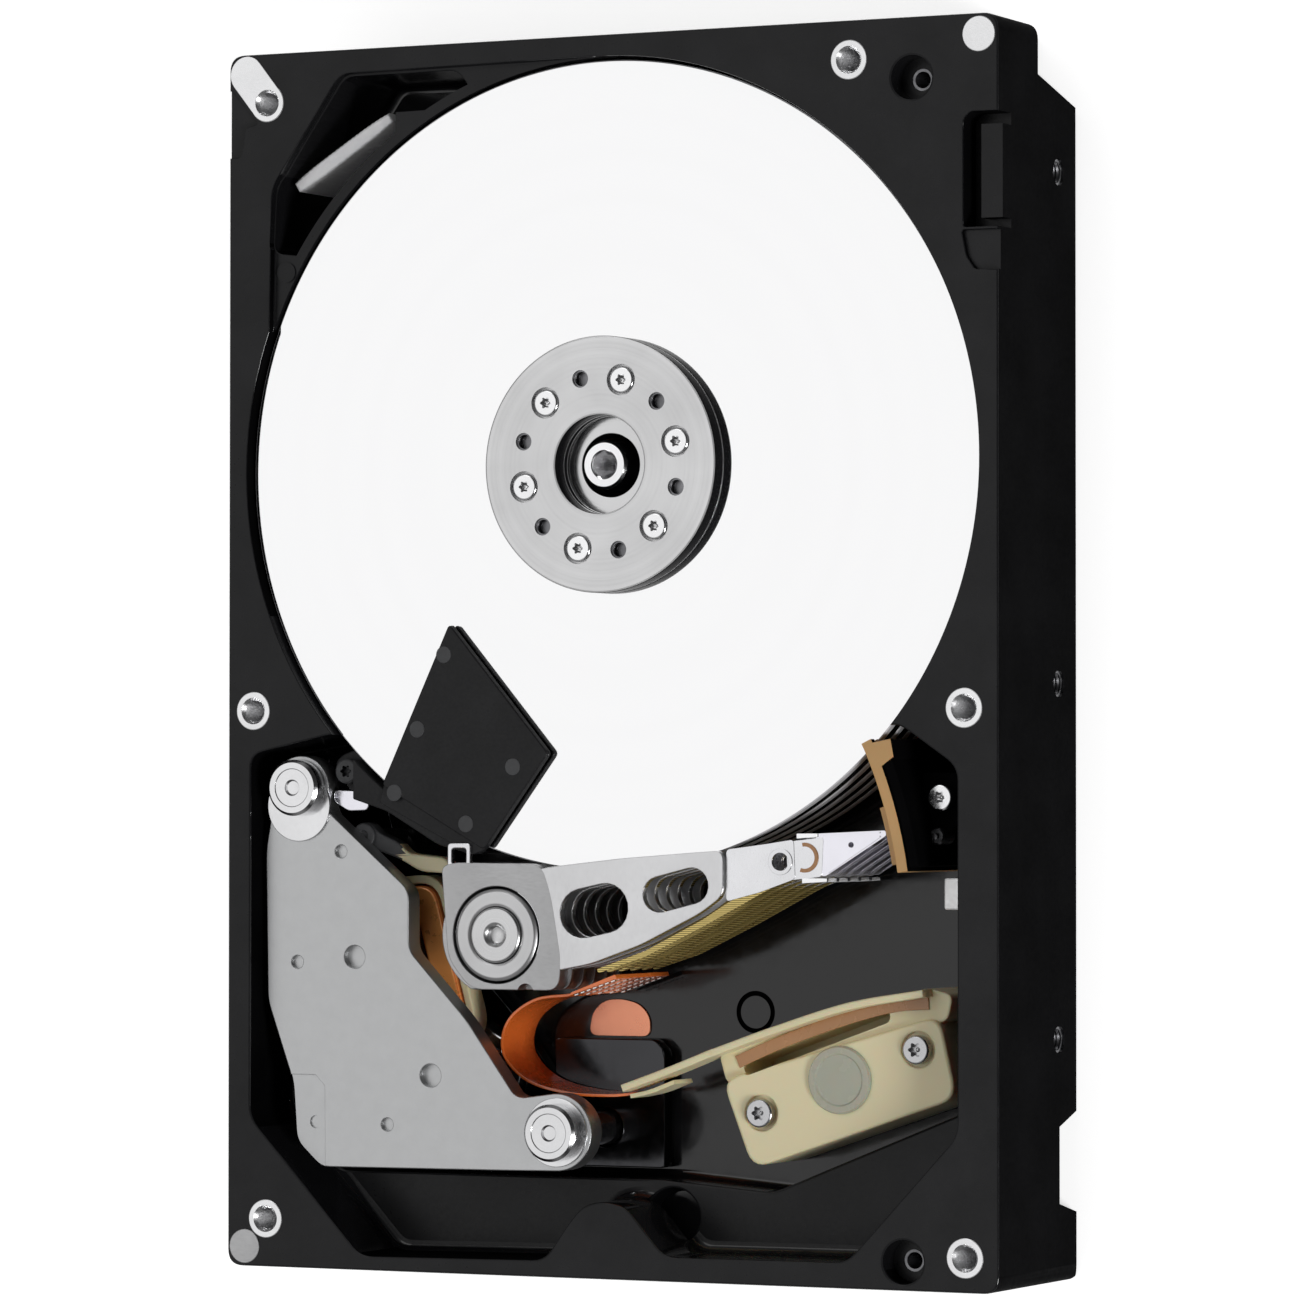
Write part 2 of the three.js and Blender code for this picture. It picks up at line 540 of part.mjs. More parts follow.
function yokePost(at) {
  return turned(at, [[0, 6.9], [2, 6.9], [2, 22.2], [3.4, 22.2], [3.4, 23.8], [3.1, 24.1], [1.2, 24.1],
    [1.2, 23.2], [0, 23.2]], 16);
}
addPiece(base, 'vcm_post_upper_left', yokePost(POST_UPPER_LEFT), BRIGHT);
addPiece(base, 'vcm_post_lower_right', yokePost(POST_LOWER_RIGHT), BRIGHT);

// ---- latch, damper, ramp -----------------------------------------------------------------------

const LATCH = rounded([[-36.9, -21.2], [-36.2, -19.9], [-34.6, -19.7], [-33.3, -21], [-30.4, -22.2],
  [-29.2, -23.5], [-24.2, -24], [-23.2, -24.9], [-24.2, -25.9], [-27.6, -25.7], [-30.2, -24.3],
  [-33.8, -23.1], [-36.2, -23]], 0.8);
const lever = prism(LATCH, 16.2, 18.4).subtract(cylinder(LATCH_PIN, 1, 0, ABOVE, 16));
addPiece(latch, 'latch_lever', lever, CREAM);

// Comb of plates reaching between the platters from a spine outside their edge.
const DAMPER_SCREW = [-35.9, -13.6];
function airflowDamper() {
  const diamond = rounded([[-20.5, 4], [-7.2, -11.5], [-15.8, -23], [-29.6, -15.3]], 0.6);
  const blade = rounded([[-20.5, 4], [-7.2, -11.5], [-15.8, -23], [-17.6, -23.6], [-30.2, -17.4],
    [-29.6, -15.3]], 0.5, 1);
  const spine = rounded([[-37.2, -11.6], [-38.2, -12.6], [-35.8, -16.4], [-29.4, -18.4], [-22.4, -22.4],
    [-17.6, -23.6], [-15.8, -23], [-20, -15], [-30, -9]], 0.7);
  const disks = cylinder(SPINDLE, PLATTER_RADIUS + DISK_CLEARANCE, 0, ABOVE, 64);
  let damper = prism(spine, 7.2, 23.5).subtract(disks);
  damper = damper.add(prism(blade, 23.2, 23.8)).add(prism(diamond, 23.2, RIM_Z));
  for (let i = 1; i < PLATTERS; i += 1) {
    const middle = armLevel(i);
    damper = damper.add(prism(blade, middle - 0.5, middle + 0.5));
  }
  damper = damper.subtract(box([-42, -34], [-17, -8], [20.4, 23.6]));
  return damper.subtract(cylinder(DAMPER_SCREW, SCREW_CLEARANCE, 0, ABOVE, 12));
}
addPiece(base, 'airflow_damper', airflowDamper(), DARK_PLASTIC);
addPiece(base, 'damper_screw',
  screw(DAMPER_SCREW, { head: 1.5, top: 21.8, seat: 20.7, bottom: 9 }), BRIGHT);

// Ramp: curved comb just outside the head tips, its near end slotted around the platter edges.
const RAMP_SCREW = [41.1, -16.7];
function loadRamp() {
  const height = [COMB_BOTTOM_Z, COMB_TOP_Z];
  let ramp = sector(PIVOT, TIP_RADIUS + 0.9, TIP_RADIUS + 2.6, 8.4, 25.4, ...height, 10);
  ramp = ramp.add(prism([[35.4, -13.6], [33.6, -10.6], [37.2, -9.9], [37.6, -12]], ...height));
  const foot = rounded([[38.2, -13.8], [43.6, -13.8], [43.6, -19.4], [38.6, -22.8]], 0.8);
  ramp = ramp.add(prism(foot, 15.6, 17.6));
  for (let i = 0; i < PLATTERS; i += 1) {
    const top = platterTop(i);
    ramp = ramp.subtract(cylinder(SPINDLE, PLATTER_RADIUS + DISK_CLEARANCE,
      top - PLATTER_THICKNESS - 0.4, top + 0.4, 64));
  }
  return ramp.subtract(cylinder(RAMP_SCREW, SCREW_CLEARANCE, 0, ABOVE, 12));
}
addPiece(base, 'load_ramp', loadRamp(), TAN);
addPiece(base, 'ramp_screw', screw(RAMP_SCREW, { head: 1.6, top: 19.1, seat: 17.9, bottom: 9 }), BRIGHT);

// ---- flex bracket and cable --------------------------------------------------------------------

function flexBracket() {
  const block = rounded([[12.6, -50], [16.6, -60.4], [42.8, -51.6], [40.6, -42]], 2.2);
  const lip = rounded([[11.8, -46.9], [38.8, -38.8], [42, -39.6], [41.4, -42.6], [12.9, -50.6]], 1);
  const fence = [[11.9, -46.9], [20.5, -43.9], [30, -41], [39.4, -39.4]];
  const finger = [[0.4, -51.2], [6, -49.2], [12.4, -46.7]];
  let bracket = prism(block, 6.9, 18).add(prism(lip, 6.9, 17.2));
  bracket = bracket.add(ribbon(fence, 0.9, 6.9, 20, 8)).add(ribbon(finger, 0.9, 15.6, 20, 4));
  bracket = bracket.subtract(slot([24.6, -45.4], 20, 1.7, 20, 9, ABOVE));
  Object.values(BRACKET_SCREWS).forEach((at) => {
    bracket = bracket.subtract(cylinder(at, SCREW_CLEARANCE, 0, ABOVE, 12));
    bracket = bracket.subtract(cylinder(at, 2.1, 17.4, ABOVE, 14));
  });
  return bracket.add(cylinder([28, -49.7], 4, 17.9, 18.5, 24));
}
addPiece(base, 'flex_bracket', flexBracket(), CREAM);
Object.entries(BRACKET_SCREWS).forEach(([side, at]) => {
  addPiece(base, `bracket_screw_${side}`,
    screw(at, { head: 1.7, top: 18.8, seat: 17.7, bottom: 8 }), BRIGHT);
});

// Standing loop of film from the arm comb round to the bracket's finger.
const FLEX_PATH = [[-7.6, -40.3], [-12.4, -41], [-16, -43.6], [-16.6, -47.4], [-13.4, -50.6],
  [-8, -52], [-2.5, -52.2], [1, -51.9]];
addPiece(base, 'flex_cable', ribbon(FLEX_PATH, 0.35, 9.4, 17.6, 18), AMBER);

// ---- underside ---------------------------------------------------------------------------------

function circuitBoard() {
  let board = prism(rounded([[-44.6, -64], [1.6, -64], [1.6, -71.8], [44.6, -71.8],
    [44.6, 20.9], [-44.6, 20.9]], 0.8), ...BOARD_Z);
  board = board.subtract(cylinder(SPINDLE, 16.1, 0, ABOVE, 32));
  BOARD_SCREWS.forEach((at) => {
    board = board.subtract(cylinder(at, SCREW_CLEARANCE, 0, ABOVE, 12));
  });
  return board;
}
addPiece(base, 'circuit_board', circuitBoard(), BOARD);
BOARD_SCREWS.forEach((at, i) => {
  const standing = screw([0, 0], { head: 1.9, top: 2.6, seat: 1.3, bottom: -0.9 });
  const turnedOver = standing.rotate([180, 0, 0]).translate([...at, 3.4]);
  addPiece(base, `board_screw_${i + 1}`, turnedOver, BRIGHT);
});
addPiece(base, 'controller_chip', box([-19, -5], [-38, -24], CHIP_Z), DARK_PLASTIC);
addPiece(base, 'motor_driver_chip', box([12, 21], [-6, 3], CHIP_Z), DARK_PLASTIC);

// Combined plug: a wide power blade and a narrow data blade in one shell.
function sataConnector() {
  let plug = box([-41.9, 0.5], [-73.2, -65.2], [0.8, 9.2]);
  [[-40.4, -17.4], [-13.6, -0.9]].forEach(([left, right]) => {
    plug = plug.subtract(box([left, right], [-75, -67.2], [2, 8]));
    plug = plug.add(box([left + 1.2, right - 1.2], [-72.6, -67], [4.6, 5.8]));
    plug = plug.add(box([left + 1.2, left + 2.4], [-72.6, -67], [4.7, 7]));
  });
  return plug;
}
addPiece(base, 'sata_connector', sataConnector(), DARK_PLASTIC);

export default drive;
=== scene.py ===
"""Opened 3.5 inch hard disk drive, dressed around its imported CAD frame.

The frame lies flat: +Z comes out of the open face, +Y points away from the connectors. Lengths in
this file are millimetres in that frame, and MM turns them into Blender's metres.
"""
import math
import random

import bmesh
import bpy
from mathutils import Matrix, Vector


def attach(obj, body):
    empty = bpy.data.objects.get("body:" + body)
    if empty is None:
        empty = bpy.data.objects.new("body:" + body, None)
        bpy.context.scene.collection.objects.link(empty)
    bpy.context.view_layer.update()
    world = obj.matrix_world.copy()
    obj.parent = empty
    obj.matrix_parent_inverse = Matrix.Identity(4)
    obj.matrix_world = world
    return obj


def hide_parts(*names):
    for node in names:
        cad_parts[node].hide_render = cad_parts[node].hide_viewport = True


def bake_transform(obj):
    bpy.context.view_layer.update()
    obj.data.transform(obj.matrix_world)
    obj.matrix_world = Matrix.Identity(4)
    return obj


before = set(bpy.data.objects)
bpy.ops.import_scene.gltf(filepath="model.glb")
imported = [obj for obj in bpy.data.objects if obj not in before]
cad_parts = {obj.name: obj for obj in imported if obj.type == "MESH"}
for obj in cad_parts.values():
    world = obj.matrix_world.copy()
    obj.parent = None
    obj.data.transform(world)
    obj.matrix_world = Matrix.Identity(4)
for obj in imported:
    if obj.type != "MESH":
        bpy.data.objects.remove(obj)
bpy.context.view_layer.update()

MM = 0.001

# ---- places and sizes of the drive, in millimetres -------------------------------------------

HALF_WIDTH, HALF_LENGTH, RIM_Z = 50.8, 73.5, 24.3
ABOVE = 30.0
FLOOR_Z, LEDGE_Z = 6.6, 14.0
SPINDLE = (0.0, 22.6)
PIVOT = (-14.1, -33.1)
PLATTERS, PITCH, TOP_PLATTER_Z, PLATTER_THICK = 5, 3.1, 22.8, 1.27
PLATTER_RADIUS, PLATTER_BORE, BAY_RADIUS = 48.0, 12.5, 48.35
SHROUD_WALL, SHELF_Z, FILTER_WELL_Z = 1.25, 23.2, 9.0
CLAMP_RADIUS, CLAMP_BORE, CLAMP_TOP_Z = 15.2, 5.85, 25.1
HUB_BORE, HUB_FLOOR_Z = 3.8, 22.0
CLAMP_SCREW_CIRCLE, CLAMP_SCREW_START = 10.3, 14
POST_UPPER_LEFT, POST_LOWER_RIGHT = (-42.1, -15.6), (-7.2, -56.5)
YOKE_TOP, YOKE_BOTTOM = (19.0, 21.9), (6.9, 9.0)
COIL_ANGLE, COIL_HALF_ANGLE, COIL_INNER, COIL_Z = 195, 24, 10.8, (11.8, 15.8)
LATCH_PIN = (-35.1, -21.4)
COMB_RADIUS, BEARING_BORE = 7.3, 5.8
COVER_HOLES = [(-45.5, 67.5), (32, 68.9), (-47.3, -6.3), (46.5, -6.4), (-45.5, -67.7), (46.6, -69.5)]
SUNK_HOLES, SUNK_FLOOR_Z = [(39.9, 66.5), (38.8, -70.2)], 21.2
FLOOR_RING = (11.7, -42.4)
DATUM_PADS = [(48.4, 71.1), (-48.4, -71.1)]
SIDE_HOLE_Z, SIDE_HOLES_Y = 6.35, (-45.0, -3.4, 56.6)
BOTTOM_HOLE_X, BOTTOM_HOLES_Y = 47.63, (-32.2, 12.25)
BOARD_SCREWS = [(-40.5, -52), (40.5, -62), (-40.5, 14), (40.5, 14)]
BOARD_Z = (2.4, 3.5)
STACK_Z = (7.6, 24.2)    # lowest and highest of the pieces that reach past all five disks

ON_AXIS = 1e-6           # a lathe profile's points nearer the axis than this are on it
UPSIDE_DOWN = Matrix.Rotation(math.pi, 4, "X")


# ---- outlines ----------------------------------------------------------------------------------

def polar(centre, radius, degrees):
    angle = math.radians(degrees)
    return (centre[0] + radius * math.cos(angle), centre[1] + radius * math.sin(angle))


def circle(centre, radius, count=32):
    return [polar(centre, radius, 360 * i / count) for i in range(count)]


def eased(corners, i, radius, share, steps):
    """Curve in place of corner `i`: up to `radius` of each side that meets there, or a share of it."""
    at = Vector(corners[i])
    before, after = Vector(corners[i - 1]) - at, Vector(corners[(i + 1) % len(corners)]) - at
    reach = min(radius, before.length * share, after.length * share)
    start, end = at + before.normalized() * reach, at + after.normalized() * reach
    return [tuple(start * (1 - t) ** 2 + at * 2 * t * (1 - t) + end * t ** 2)
            for t in (step / steps for step in range(steps + 1))]


def rounded(corners, radius, steps=5):
    """Outline through the corners, each rounded by up to `radius`."""
    return [point for i in range(len(corners)) for point in eased(corners, i, radius, 0.45, steps)]


def slot_outline(centre, length, width, tilt=0, steps=10):
    points = []
    for side in range(2):
        for step in range(steps + 1):
            angle = -math.pi / 2 + math.pi * (side + step / steps)
            shift = (length - width) / 2 * (1 if side == 0 else -1)
            points.append(Vector((shift + math.cos(angle) * width / 2, math.sin(angle) * width / 2)))
    turn = Matrix.Rotation(math.radians(tilt), 2)
    return [tuple(turn @ p + Vector(centre)) for p in points]


def sector_outline(centre, inner, outer, start, end, steps=24):
    sweep = [start + (end - start) * i / steps for i in range(steps + 1)]
    return [polar(centre, outer, a) for a in sweep] + [polar(centre, inner, a) for a in reversed(sweep)]


def ribbon_outline(path, width, steps=40):
    """Band of even width along a smooth path in plan."""
    middle = smooth_path(path, steps)
    left, right = [], []
    for i, at in enumerate(middle):
        along = (middle[min(i + 1, steps)] - middle[max(i - 1, 0)]).normalized()
        side = Vector((-along.y, along.x)) * width / 2
        left.append(tuple(at + side))
        right.insert(0, tuple(at - side))
    return left + right


def smooth_path(path, steps):
    """Points evenly along a Catmull-Rom curve through the path."""
    knots = [Vector(p) for p in path]
    knots = [2 * knots[0] - knots[1]] + knots + [2 * knots[-1] - knots[-2]]
    dense = []
    for a, b, c, d in zip(knots, knots[1:], knots[2:], knots[3:]):
        for i in range(16):
            t = i / 16
            dense.append(0.5 * (2 * b + (c - a) * t + (2 * a - 5 * b + 4 * c - d) * t * t
                                + (3 * b - a - 3 * c + d) * t ** 3))
    dense.append(knots[-2])
    lengths = [0.0]
    for a, b in zip(dense, dense[1:]):
        lengths.append(lengths[-1] + (b - a).length)
    points = []
    for i in range(steps + 1):
        want = lengths[-1] * i / steps
        at = max(j for j, length in enumerate(lengths) if length <= want + 1e-9)
        at = min(at, len(dense) - 2)
        part = (want - lengths[at]) / max(lengths[at + 1] - lengths[at], 1e-9)
        points.append(dense[at].lerp(dense[at + 1], part))
    return points


# ---- meshes ------------------------------------------------------------------------------------

def to_object(name, mesh):
    thing = bpy.data.objects.new(name, mesh)
    bpy.context.scene.collection.objects.link(thing)
    return thing


def smooth(mesh, angle=32):
    """Smooth shading, with sharp edges where faces meet at more than an angle."""
    mesh.polygons.foreach_set("use_smooth", [True] * len(mesh.polygons))
    mesh.set_sharp_from_angle(angle=math.radians(angle))
    mesh.update()


def finished(name, shell, angle=None):
    """Object made of a bmesh, which is used up."""
    mesh = bpy.data.meshes.new(name)
    shell.to_mesh(mesh)
    shell.free()
    if angle:
        smooth(mesh, angle)
    return to_object(name, mesh)


def evaluated(thing):
    """Mesh of the object as its modifiers or curve settings leave it."""
    bpy.context.view_layer.update()
    return bpy.data.meshes.new_from_object(thing.evaluated_get(bpy.context.evaluated_depsgraph_get()))


def baked(thing):
    """The object with its modifiers applied to its mesh."""
    mesh = evaluated(thing)
    mesh.name = thing.name
    thing.modifiers.clear()
    thing.data = mesh
    return thing


def moved(thing, at, turn=Matrix()):
    """The object's mesh turned about the origin, then carried to a place in millimetres."""
    thing.data.transform(Matrix.Translation([value * MM for value in at]) @ turn)
    return thing


def plate(name, outline, bottom, top, holes=(), edge=0.12, steps=1):
    """Flat piece with rounded edges: a filled outline with holes, from bottom to top."""
    curve = bpy.data.curves.new(name, "CURVE")
    curve.dimensions, curve.fill_mode = "2D", "BOTH"
    curve.extrude = ((top - bottom) / 2 - edge) * MM
    curve.bevel_depth, curve.bevel_resolution, curve.offset = edge * MM, steps, -edge * MM
    for loop in [outline, *holes]:
        spline = curve.splines.new("POLY")
        spline.points.add(len(loop) - 1)
        for point, (x, y) in zip(spline.points, loop):
            point.co = (x * MM, y * MM, 0, 1)
        spline.use_cyclic_u = True
    holder = to_object(name + "_outline", curve)
    mesh = evaluated(holder)
    bpy.data.objects.remove(holder)
    mesh.name = name
    shell = bmesh.new()
    shell.from_mesh(mesh)
    bmesh.ops.remove_doubles(shell, verts=shell.verts, dist=1e-7)
    bmesh.ops.translate(shell, verts=shell.verts, vec=(0, 0, (top + bottom) / 2 * MM))
    shell.to_mesh(mesh)
    shell.free()
    smooth(mesh)
    return to_object(name, mesh)


def stacked(name, levels):
    """Closed solid through [outline, z] levels, whose outlines have the same number of points."""
    shell = bmesh.new()
    loops = [[shell.verts.new((x * MM, y * MM, z * MM)) for x, y in outline] for outline, z in levels]
    shell.faces.new(loops[0])
    shell.faces.new(loops[-1])
    for a, b in zip(loops, loops[1:]):
        for i in range(len(a)):
            j = (i + 1) % len(a)
            shell.faces.new((a[i], a[j], b[j], b[i]))
    bmesh.ops.recalc_face_normals(shell, faces=shell.faces)
    return finished(name, shell)


def prism(name, outline, bottom, top):
    """Sharp-edged straight prism, used plain or as a cutter."""
    return stacked(name, [(outline, bottom), (outline, top)])


def disc(name, centre, radius, bottom, top, count=48):
    return prism(name, circle(centre, radius, count), bottom, top)


FILLET_ARC = [(-1, 0), (-0.62, 0.08), (-0.29, 0.29), (-0.08, 0.62), (0, 1)]


def grown(outline, distance):
    """The outline, anticlockwise, with every side moved outwards by a distance."""
    area = sum(a[0] * b[1] - b[0] * a[1] for a, b in zip(outline, outline[1:] + outline[:1]))
    points = [Vector(p) for p in (outline if area > 0 else reversed(outline))]
    moved = []
    for i, at in enumerate(points):
        before = (at - points[i - 1]).normalized()
        after = (points[(i + 1) % len(points)] - at).normalized()
        normal = Vector((before.y + after.y, -before.x - after.x)).normalized()
        moved.append(tuple(at + normal * distance / max(0.5, normal.dot((after.y, -after.x)))))
    return moved


def pocket(name, outline, bottom, rim, flare=0.22, fillet=0.0, top=ABOVE):
    """Cutter for a pocket: its mouth at `rim` comes out rounded, and its floor meets its wall in a fillet."""
    levels = [(0, bottom)]
    if fillet:
        levels = [(fillet * out, bottom + fillet * up) for out, up in FILLET_ARC]
    levels += [(0, rim - flare), (0.29 * flare, rim - 0.29 * flare), (flare, rim), (flare, top)]
    return stacked(name, [(grown(outline, distance), z) for distance, z in levels])


def closed(profile):
    return min(profile[0][0], profile[-1][0]) > ON_AXIS


def softened(profile, radius):
    """Lathe profile with its corners eased, its ends on the axis left alone."""
    points = []
    for i, corner in enumerate(profile):
        inner = closed(profile) or 0 < i < len(profile) - 1
        points += eased(profile, i, radius, 0.4, 2) if inner else [corner]
    return points


def lathe(name, centre, profile, segments=96, soften=0.0):
    """Piece turned about a vertical axis: [radius, z] pairs, from axis to axis or closed on itself."""
    if soften:
        profile = softened(profile, soften)
    shell = bmesh.new()
    rings = []
    for radius, z in profile:
        ring = circle(centre, radius, segments) if radius > ON_AXIS else [centre]
        rings.append([shell.verts.new((x * MM, y * MM, z * MM)) for x, y in ring])
    pairs = list(zip(rings, rings[1:]))
    if closed(profile):
        pairs.append((rings[-1], rings[0]))
    for a, b in pairs:
        for i in range(segments):
            j = (i + 1) % segments
            corners = [a[i % len(a)], a[j % len(a)], b[j % len(b)], b[i % len(b)]]
            shell.faces.new(list(dict.fromkeys(corners)))
    bmesh.ops.recalc_face_normals(shell, faces=shell.faces)
    return finished(name, shell, 28)


def band(inner, outer, bottom, top):
    """Lathe profile of a plain ring."""
    return [(inner, bottom), (outer, bottom), (outer, top), (inner, top)]


def button(radius, bottom, shoulder, top):
    """Lathe profile of a round pad with an eased top edge."""
    return [(0, bottom), (radius, bottom), (radius, shoulder), (radius - 0.07, top), (0, top)]


def box(name, x, y, z, edge=0.0):
    """Block between the x, y and z pairs, its edges rounded by `edge`."""
    outline = [(x[0], y[0]), (x[1], y[0]), (x[1], y[1]), (x[0], y[1])]
    if not edge:
        return prism(name, outline, *z)
    return plate(name, rounded(outline, edge * 1.6, 3), *z, edge=edge)


def joined(name, things):
    """One object from several, which are used up; each keeps its materials."""
    slots, shell = [], bmesh.new()
    for thing in things:
        start = len(shell.faces)
        shell.from_mesh(thing.data)
        shell.faces.ensure_lookup_table()
        for face in shell.faces[start:]:
            material = thing.data.materials[face.material_index] if thing.data.materials else None
            if material not in slots:
                slots.append(material)
            face.material_index = slots.index(material)
    for thing in things:
        bpy.data.objects.remove(thing)
    whole = finished(name, shell, 32)
    for material in slots:
        whole.data.materials.append(material)
    return whole


def boolean(thing, tools, operation="DIFFERENCE"):
    """Cuts or adds the tools, which are used up."""
    tool = joined("tool", tools)
    change = thing.modifiers.new("boolean", "BOOLEAN")
    change.object, change.operation, change.solver = tool, operation, "EXACT"
    change.use_self = len(tools) > 1
    baked(thing)
    bpy.data.objects.remove(tool)
    return thing


def bevelled(thing, width, angle=35):
    """The object with every edge sharper than an angle rounded."""
    shell = bmesh.new()
    shell.from_mesh(thing.data)
    bmesh.ops.remove_doubles(shell, verts=shell.verts, dist=2e-6)
    bmesh.ops.triangulate(shell, faces=shell.faces)
    shell.to_mesh(thing.data)
    shell.free()
    change = thing.modifiers.new("bevel", "BEVEL")
    change.width, change.segments, change.limit_method = width * MM, 2, "ANGLE"
    change.angle_limit, change.use_clamp_overlap = math.radians(angle), False
    smooth(thing.data, angle)
    return baked(thing)


WIDE_FACE = 4             # square millimetres
AXIS_ALIGNED = 0.9999     # a normal's part along one axis


def settle(thing):
    """Shading normals led by the large faces, so that flat faces look flat beside their rounded edges."""
    smooth(thing.data)
    for face in thing.data.polygons:
        sideways = max(abs(face.normal.x), abs(face.normal.y))
        wide = face.area > WIDE_FACE * MM * MM
        if abs(face.normal.z) > AXIS_ALIGNED or (wide and sideways > AXIS_ALIGNED):
            face.use_smooth = False
    change = thing.modifiers.new("normals", "WEIGHTED_NORMAL")
    change.keep_sharp, change.weight = True, 50
    return baked(thing)


# ---- materials ---------------------------------------------------------------------------------

class Surface:
    """Builds one node material around a Principled shader."""

    def __init__(self, name, metallic=0.0, **sockets):
        self.material = bpy.data.materials.new(name)
        self.material.use_nodes = True
        self.tree = self.material.node_tree
        self.shader = self.tree.nodes["Principled BSDF"]
        self.shader.inputs["Metallic"].default_value = metallic
        for socket, value in sockets.items():
            self.shader.inputs[socket.replace("_", " ")].default_value = value
        self.coordinates = self.tree.nodes.new("ShaderNodeTexCoord").outputs["Object"]

    def node(self, kind, inputs=(), **settings):
        made = self.tree.nodes.new("ShaderNode" + kind)
        for key, value in settings.items():
            setattr(made, key, value)
        for socket, value in dict(inputs).items():
            if isinstance(value, bpy.types.NodeSocket):
                self.tree.links.new(value, made.inputs[socket])
            else:
                made.inputs[socket].default_value = value
        return made

    def stretched(self, scale):
        return self.node("Mapping", {"Vector": self.coordinates, "Scale": scale}).outputs["Vector"]

    def about(self, centre):
        """Coordinates (distance from a vertical axis, height, 0), for turned surfaces."""
        moved = self.node("VectorMath", {0: self.coordinates, 1: (centre[0] * MM, centre[1] * MM, 0)},
                          operation="SUBTRACT").outputs[0]
        parts = self.node("SeparateXYZ", {0: moved}).outputs
        squares = [self.node("Math", {0: parts[i], 1: 2.0}, operation="POWER").outputs[0] for i in (0, 1)]
        total = self.node("Math", {0: squares[0], 1: squares[1]}, operation="ADD").outputs[0]
        radius = self.node("Math", {0: total, 1: 0.5}, operation="POWER").outputs[0]
        return self.node("CombineXYZ", {0: radius, 1: parts[2]}).outputs[0]

    def noise(self, vector, scale, detail=4.0):
        return self.node("TexNoise", {"Vector": vector, "Scale": scale, "Detail": detail,
                                      "Roughness": 0.55}).outputs["Fac"]

    def set_colours(self, factor, low, high, start=0.3, stop=0.7):
        spread = self.node("MapRange", {0: factor, 1: start, 2: stop}).outputs[0]
        mix = self.node("Mix", data_type="RGBA")
        self.tree.links.new(spread, mix.inputs["Factor"])
        mix.inputs["A"].default_value = (*low, 1)
        mix.inputs["B"].default_value = (*high, 1)
        self.tree.links.new(mix.outputs["Result"], self.shader.inputs["Base Color"])

    def set_roughness(self, factor, low, high):
        spread = self.node("MapRange", {0: factor, 1: 0.3, 2: 0.7, 3: low, 4: high}).outputs[0]
        self.tree.links.new(spread, self.shader.inputs["Roughness"])

    def set_bump(self, factor, strength, distance=0.02):
        bump = self.node("Bump", {"Height": factor, "Strength": strength, "Distance": distance * MM})
        self.tree.links.new(bump.outputs["Normal"], self.shader.inputs["Normal"])


def grained(name, colour, metallic=0.0, roughness=(0.3, 0.4), spread=0.1, scale=900.0, grain=(1, 1, 1),
            bump=0.2, depth=0.02, **sockets):
    """Fine-grained surface: colour and gloss wander a little, with a matching relief."""
    surface = Surface(name, metallic, **sockets)
    fine = surface.noise(surface.stretched(grain), scale)
    broad = surface.noise(surface.coordinates, scale / 14, 2.0)
    low = [max(0.0, c * (1 - spread)) for c in colour]
    high = [min(1.0, c * (1 + spread)) for c in colour]
    surface.set_colours(broad, low, high)
    surface.set_roughness(fine, *roughness)
    surface.set_bump(fine, bump, depth)
    return surface.material


def turned_metal(name, centre, colour, roughness, scale, bump):
    """Metal with the fine rings that a lathe leaves about a vertical axis."""
    surface = Surface(name, 1.0)
    rings = surface.noise(surface.about(centre), scale, 3.0)
    broad = surface.noise(surface.coordinates, 120.0, 2.0)
    surface.set_colours(broad, [c * 0.94 for c in colour], [min(1.0, c * 1.06) for c in colour])
    surface.set_roughness(rings, *roughness)
    surface.set_bump(rings, bump, 0.01)
    return surface.material


def wound_copper(name):
    """Enamelled wire, wound in a pack: fine ridges with a darker line between turns."""
    surface = Surface(name, 0.35, Coat_Weight=0.6, Coat_Roughness=0.12)
    rings = surface.node("TexWave", {"Vector": surface.coordinates, "Scale": 1100.0, "Distortion": 0.6},
                         wave_type="BANDS", bands_direction="Z").outputs["Fac"]
    surface.set_colours(rings, (0.8, 0.18, 0.03), (1.0, 0.42, 0.12), 0.1, 0.6)
    surface.set_roughness(surface.noise(surface.coordinates, 800.0), 0.25, 0.4)
    surface.set_bump(rings, 0.5, 0.05)
    return surface.material


def gold_traces(name):
    """Flexure tail: gold conductors under a clear film, as fine stripes along the strip."""
    surface = Surface(name, 0.85, Coat_Weight=0.3, Coat_Roughness=0.2)
    turned = surface.node("Mapping", {"Vector": surface.coordinates, "Rotation": (0, 0, math.radians(-24)),
                                      "Scale": (0.02, 1, 1)}).outputs["Vector"]
    stripes = surface.node("TexWave", {"Vector": turned, "Scale": 1500.0, "Distortion": 0.0},
                           wave_type="BANDS", bands_direction="Y").outputs["Fac"]
    surface.set_colours(stripes, (0.16, 0.12, 0.03), (0.72, 0.56, 0.2), 0.25, 0.6)
    surface.set_roughness(surface.noise(surface.coordinates, 900.0), 0.25, 0.4)
    surface.set_bump(stripes, 0.3, 0.02)
    return surface.material


def polished_mirror(name):
    """Sputtered platter: near-perfect mirror with the faintest rings."""
    surface = Surface(name, 1.0)
    rings = surface.noise(surface.about(SPINDLE), 260.0, 2.0)
    surface.set_colours(rings, (0.935, 0.935, 0.94), (0.945, 0.945, 0.95))
    surface.set_roughness(rings, 0.06, 0.064)
    return surface.material


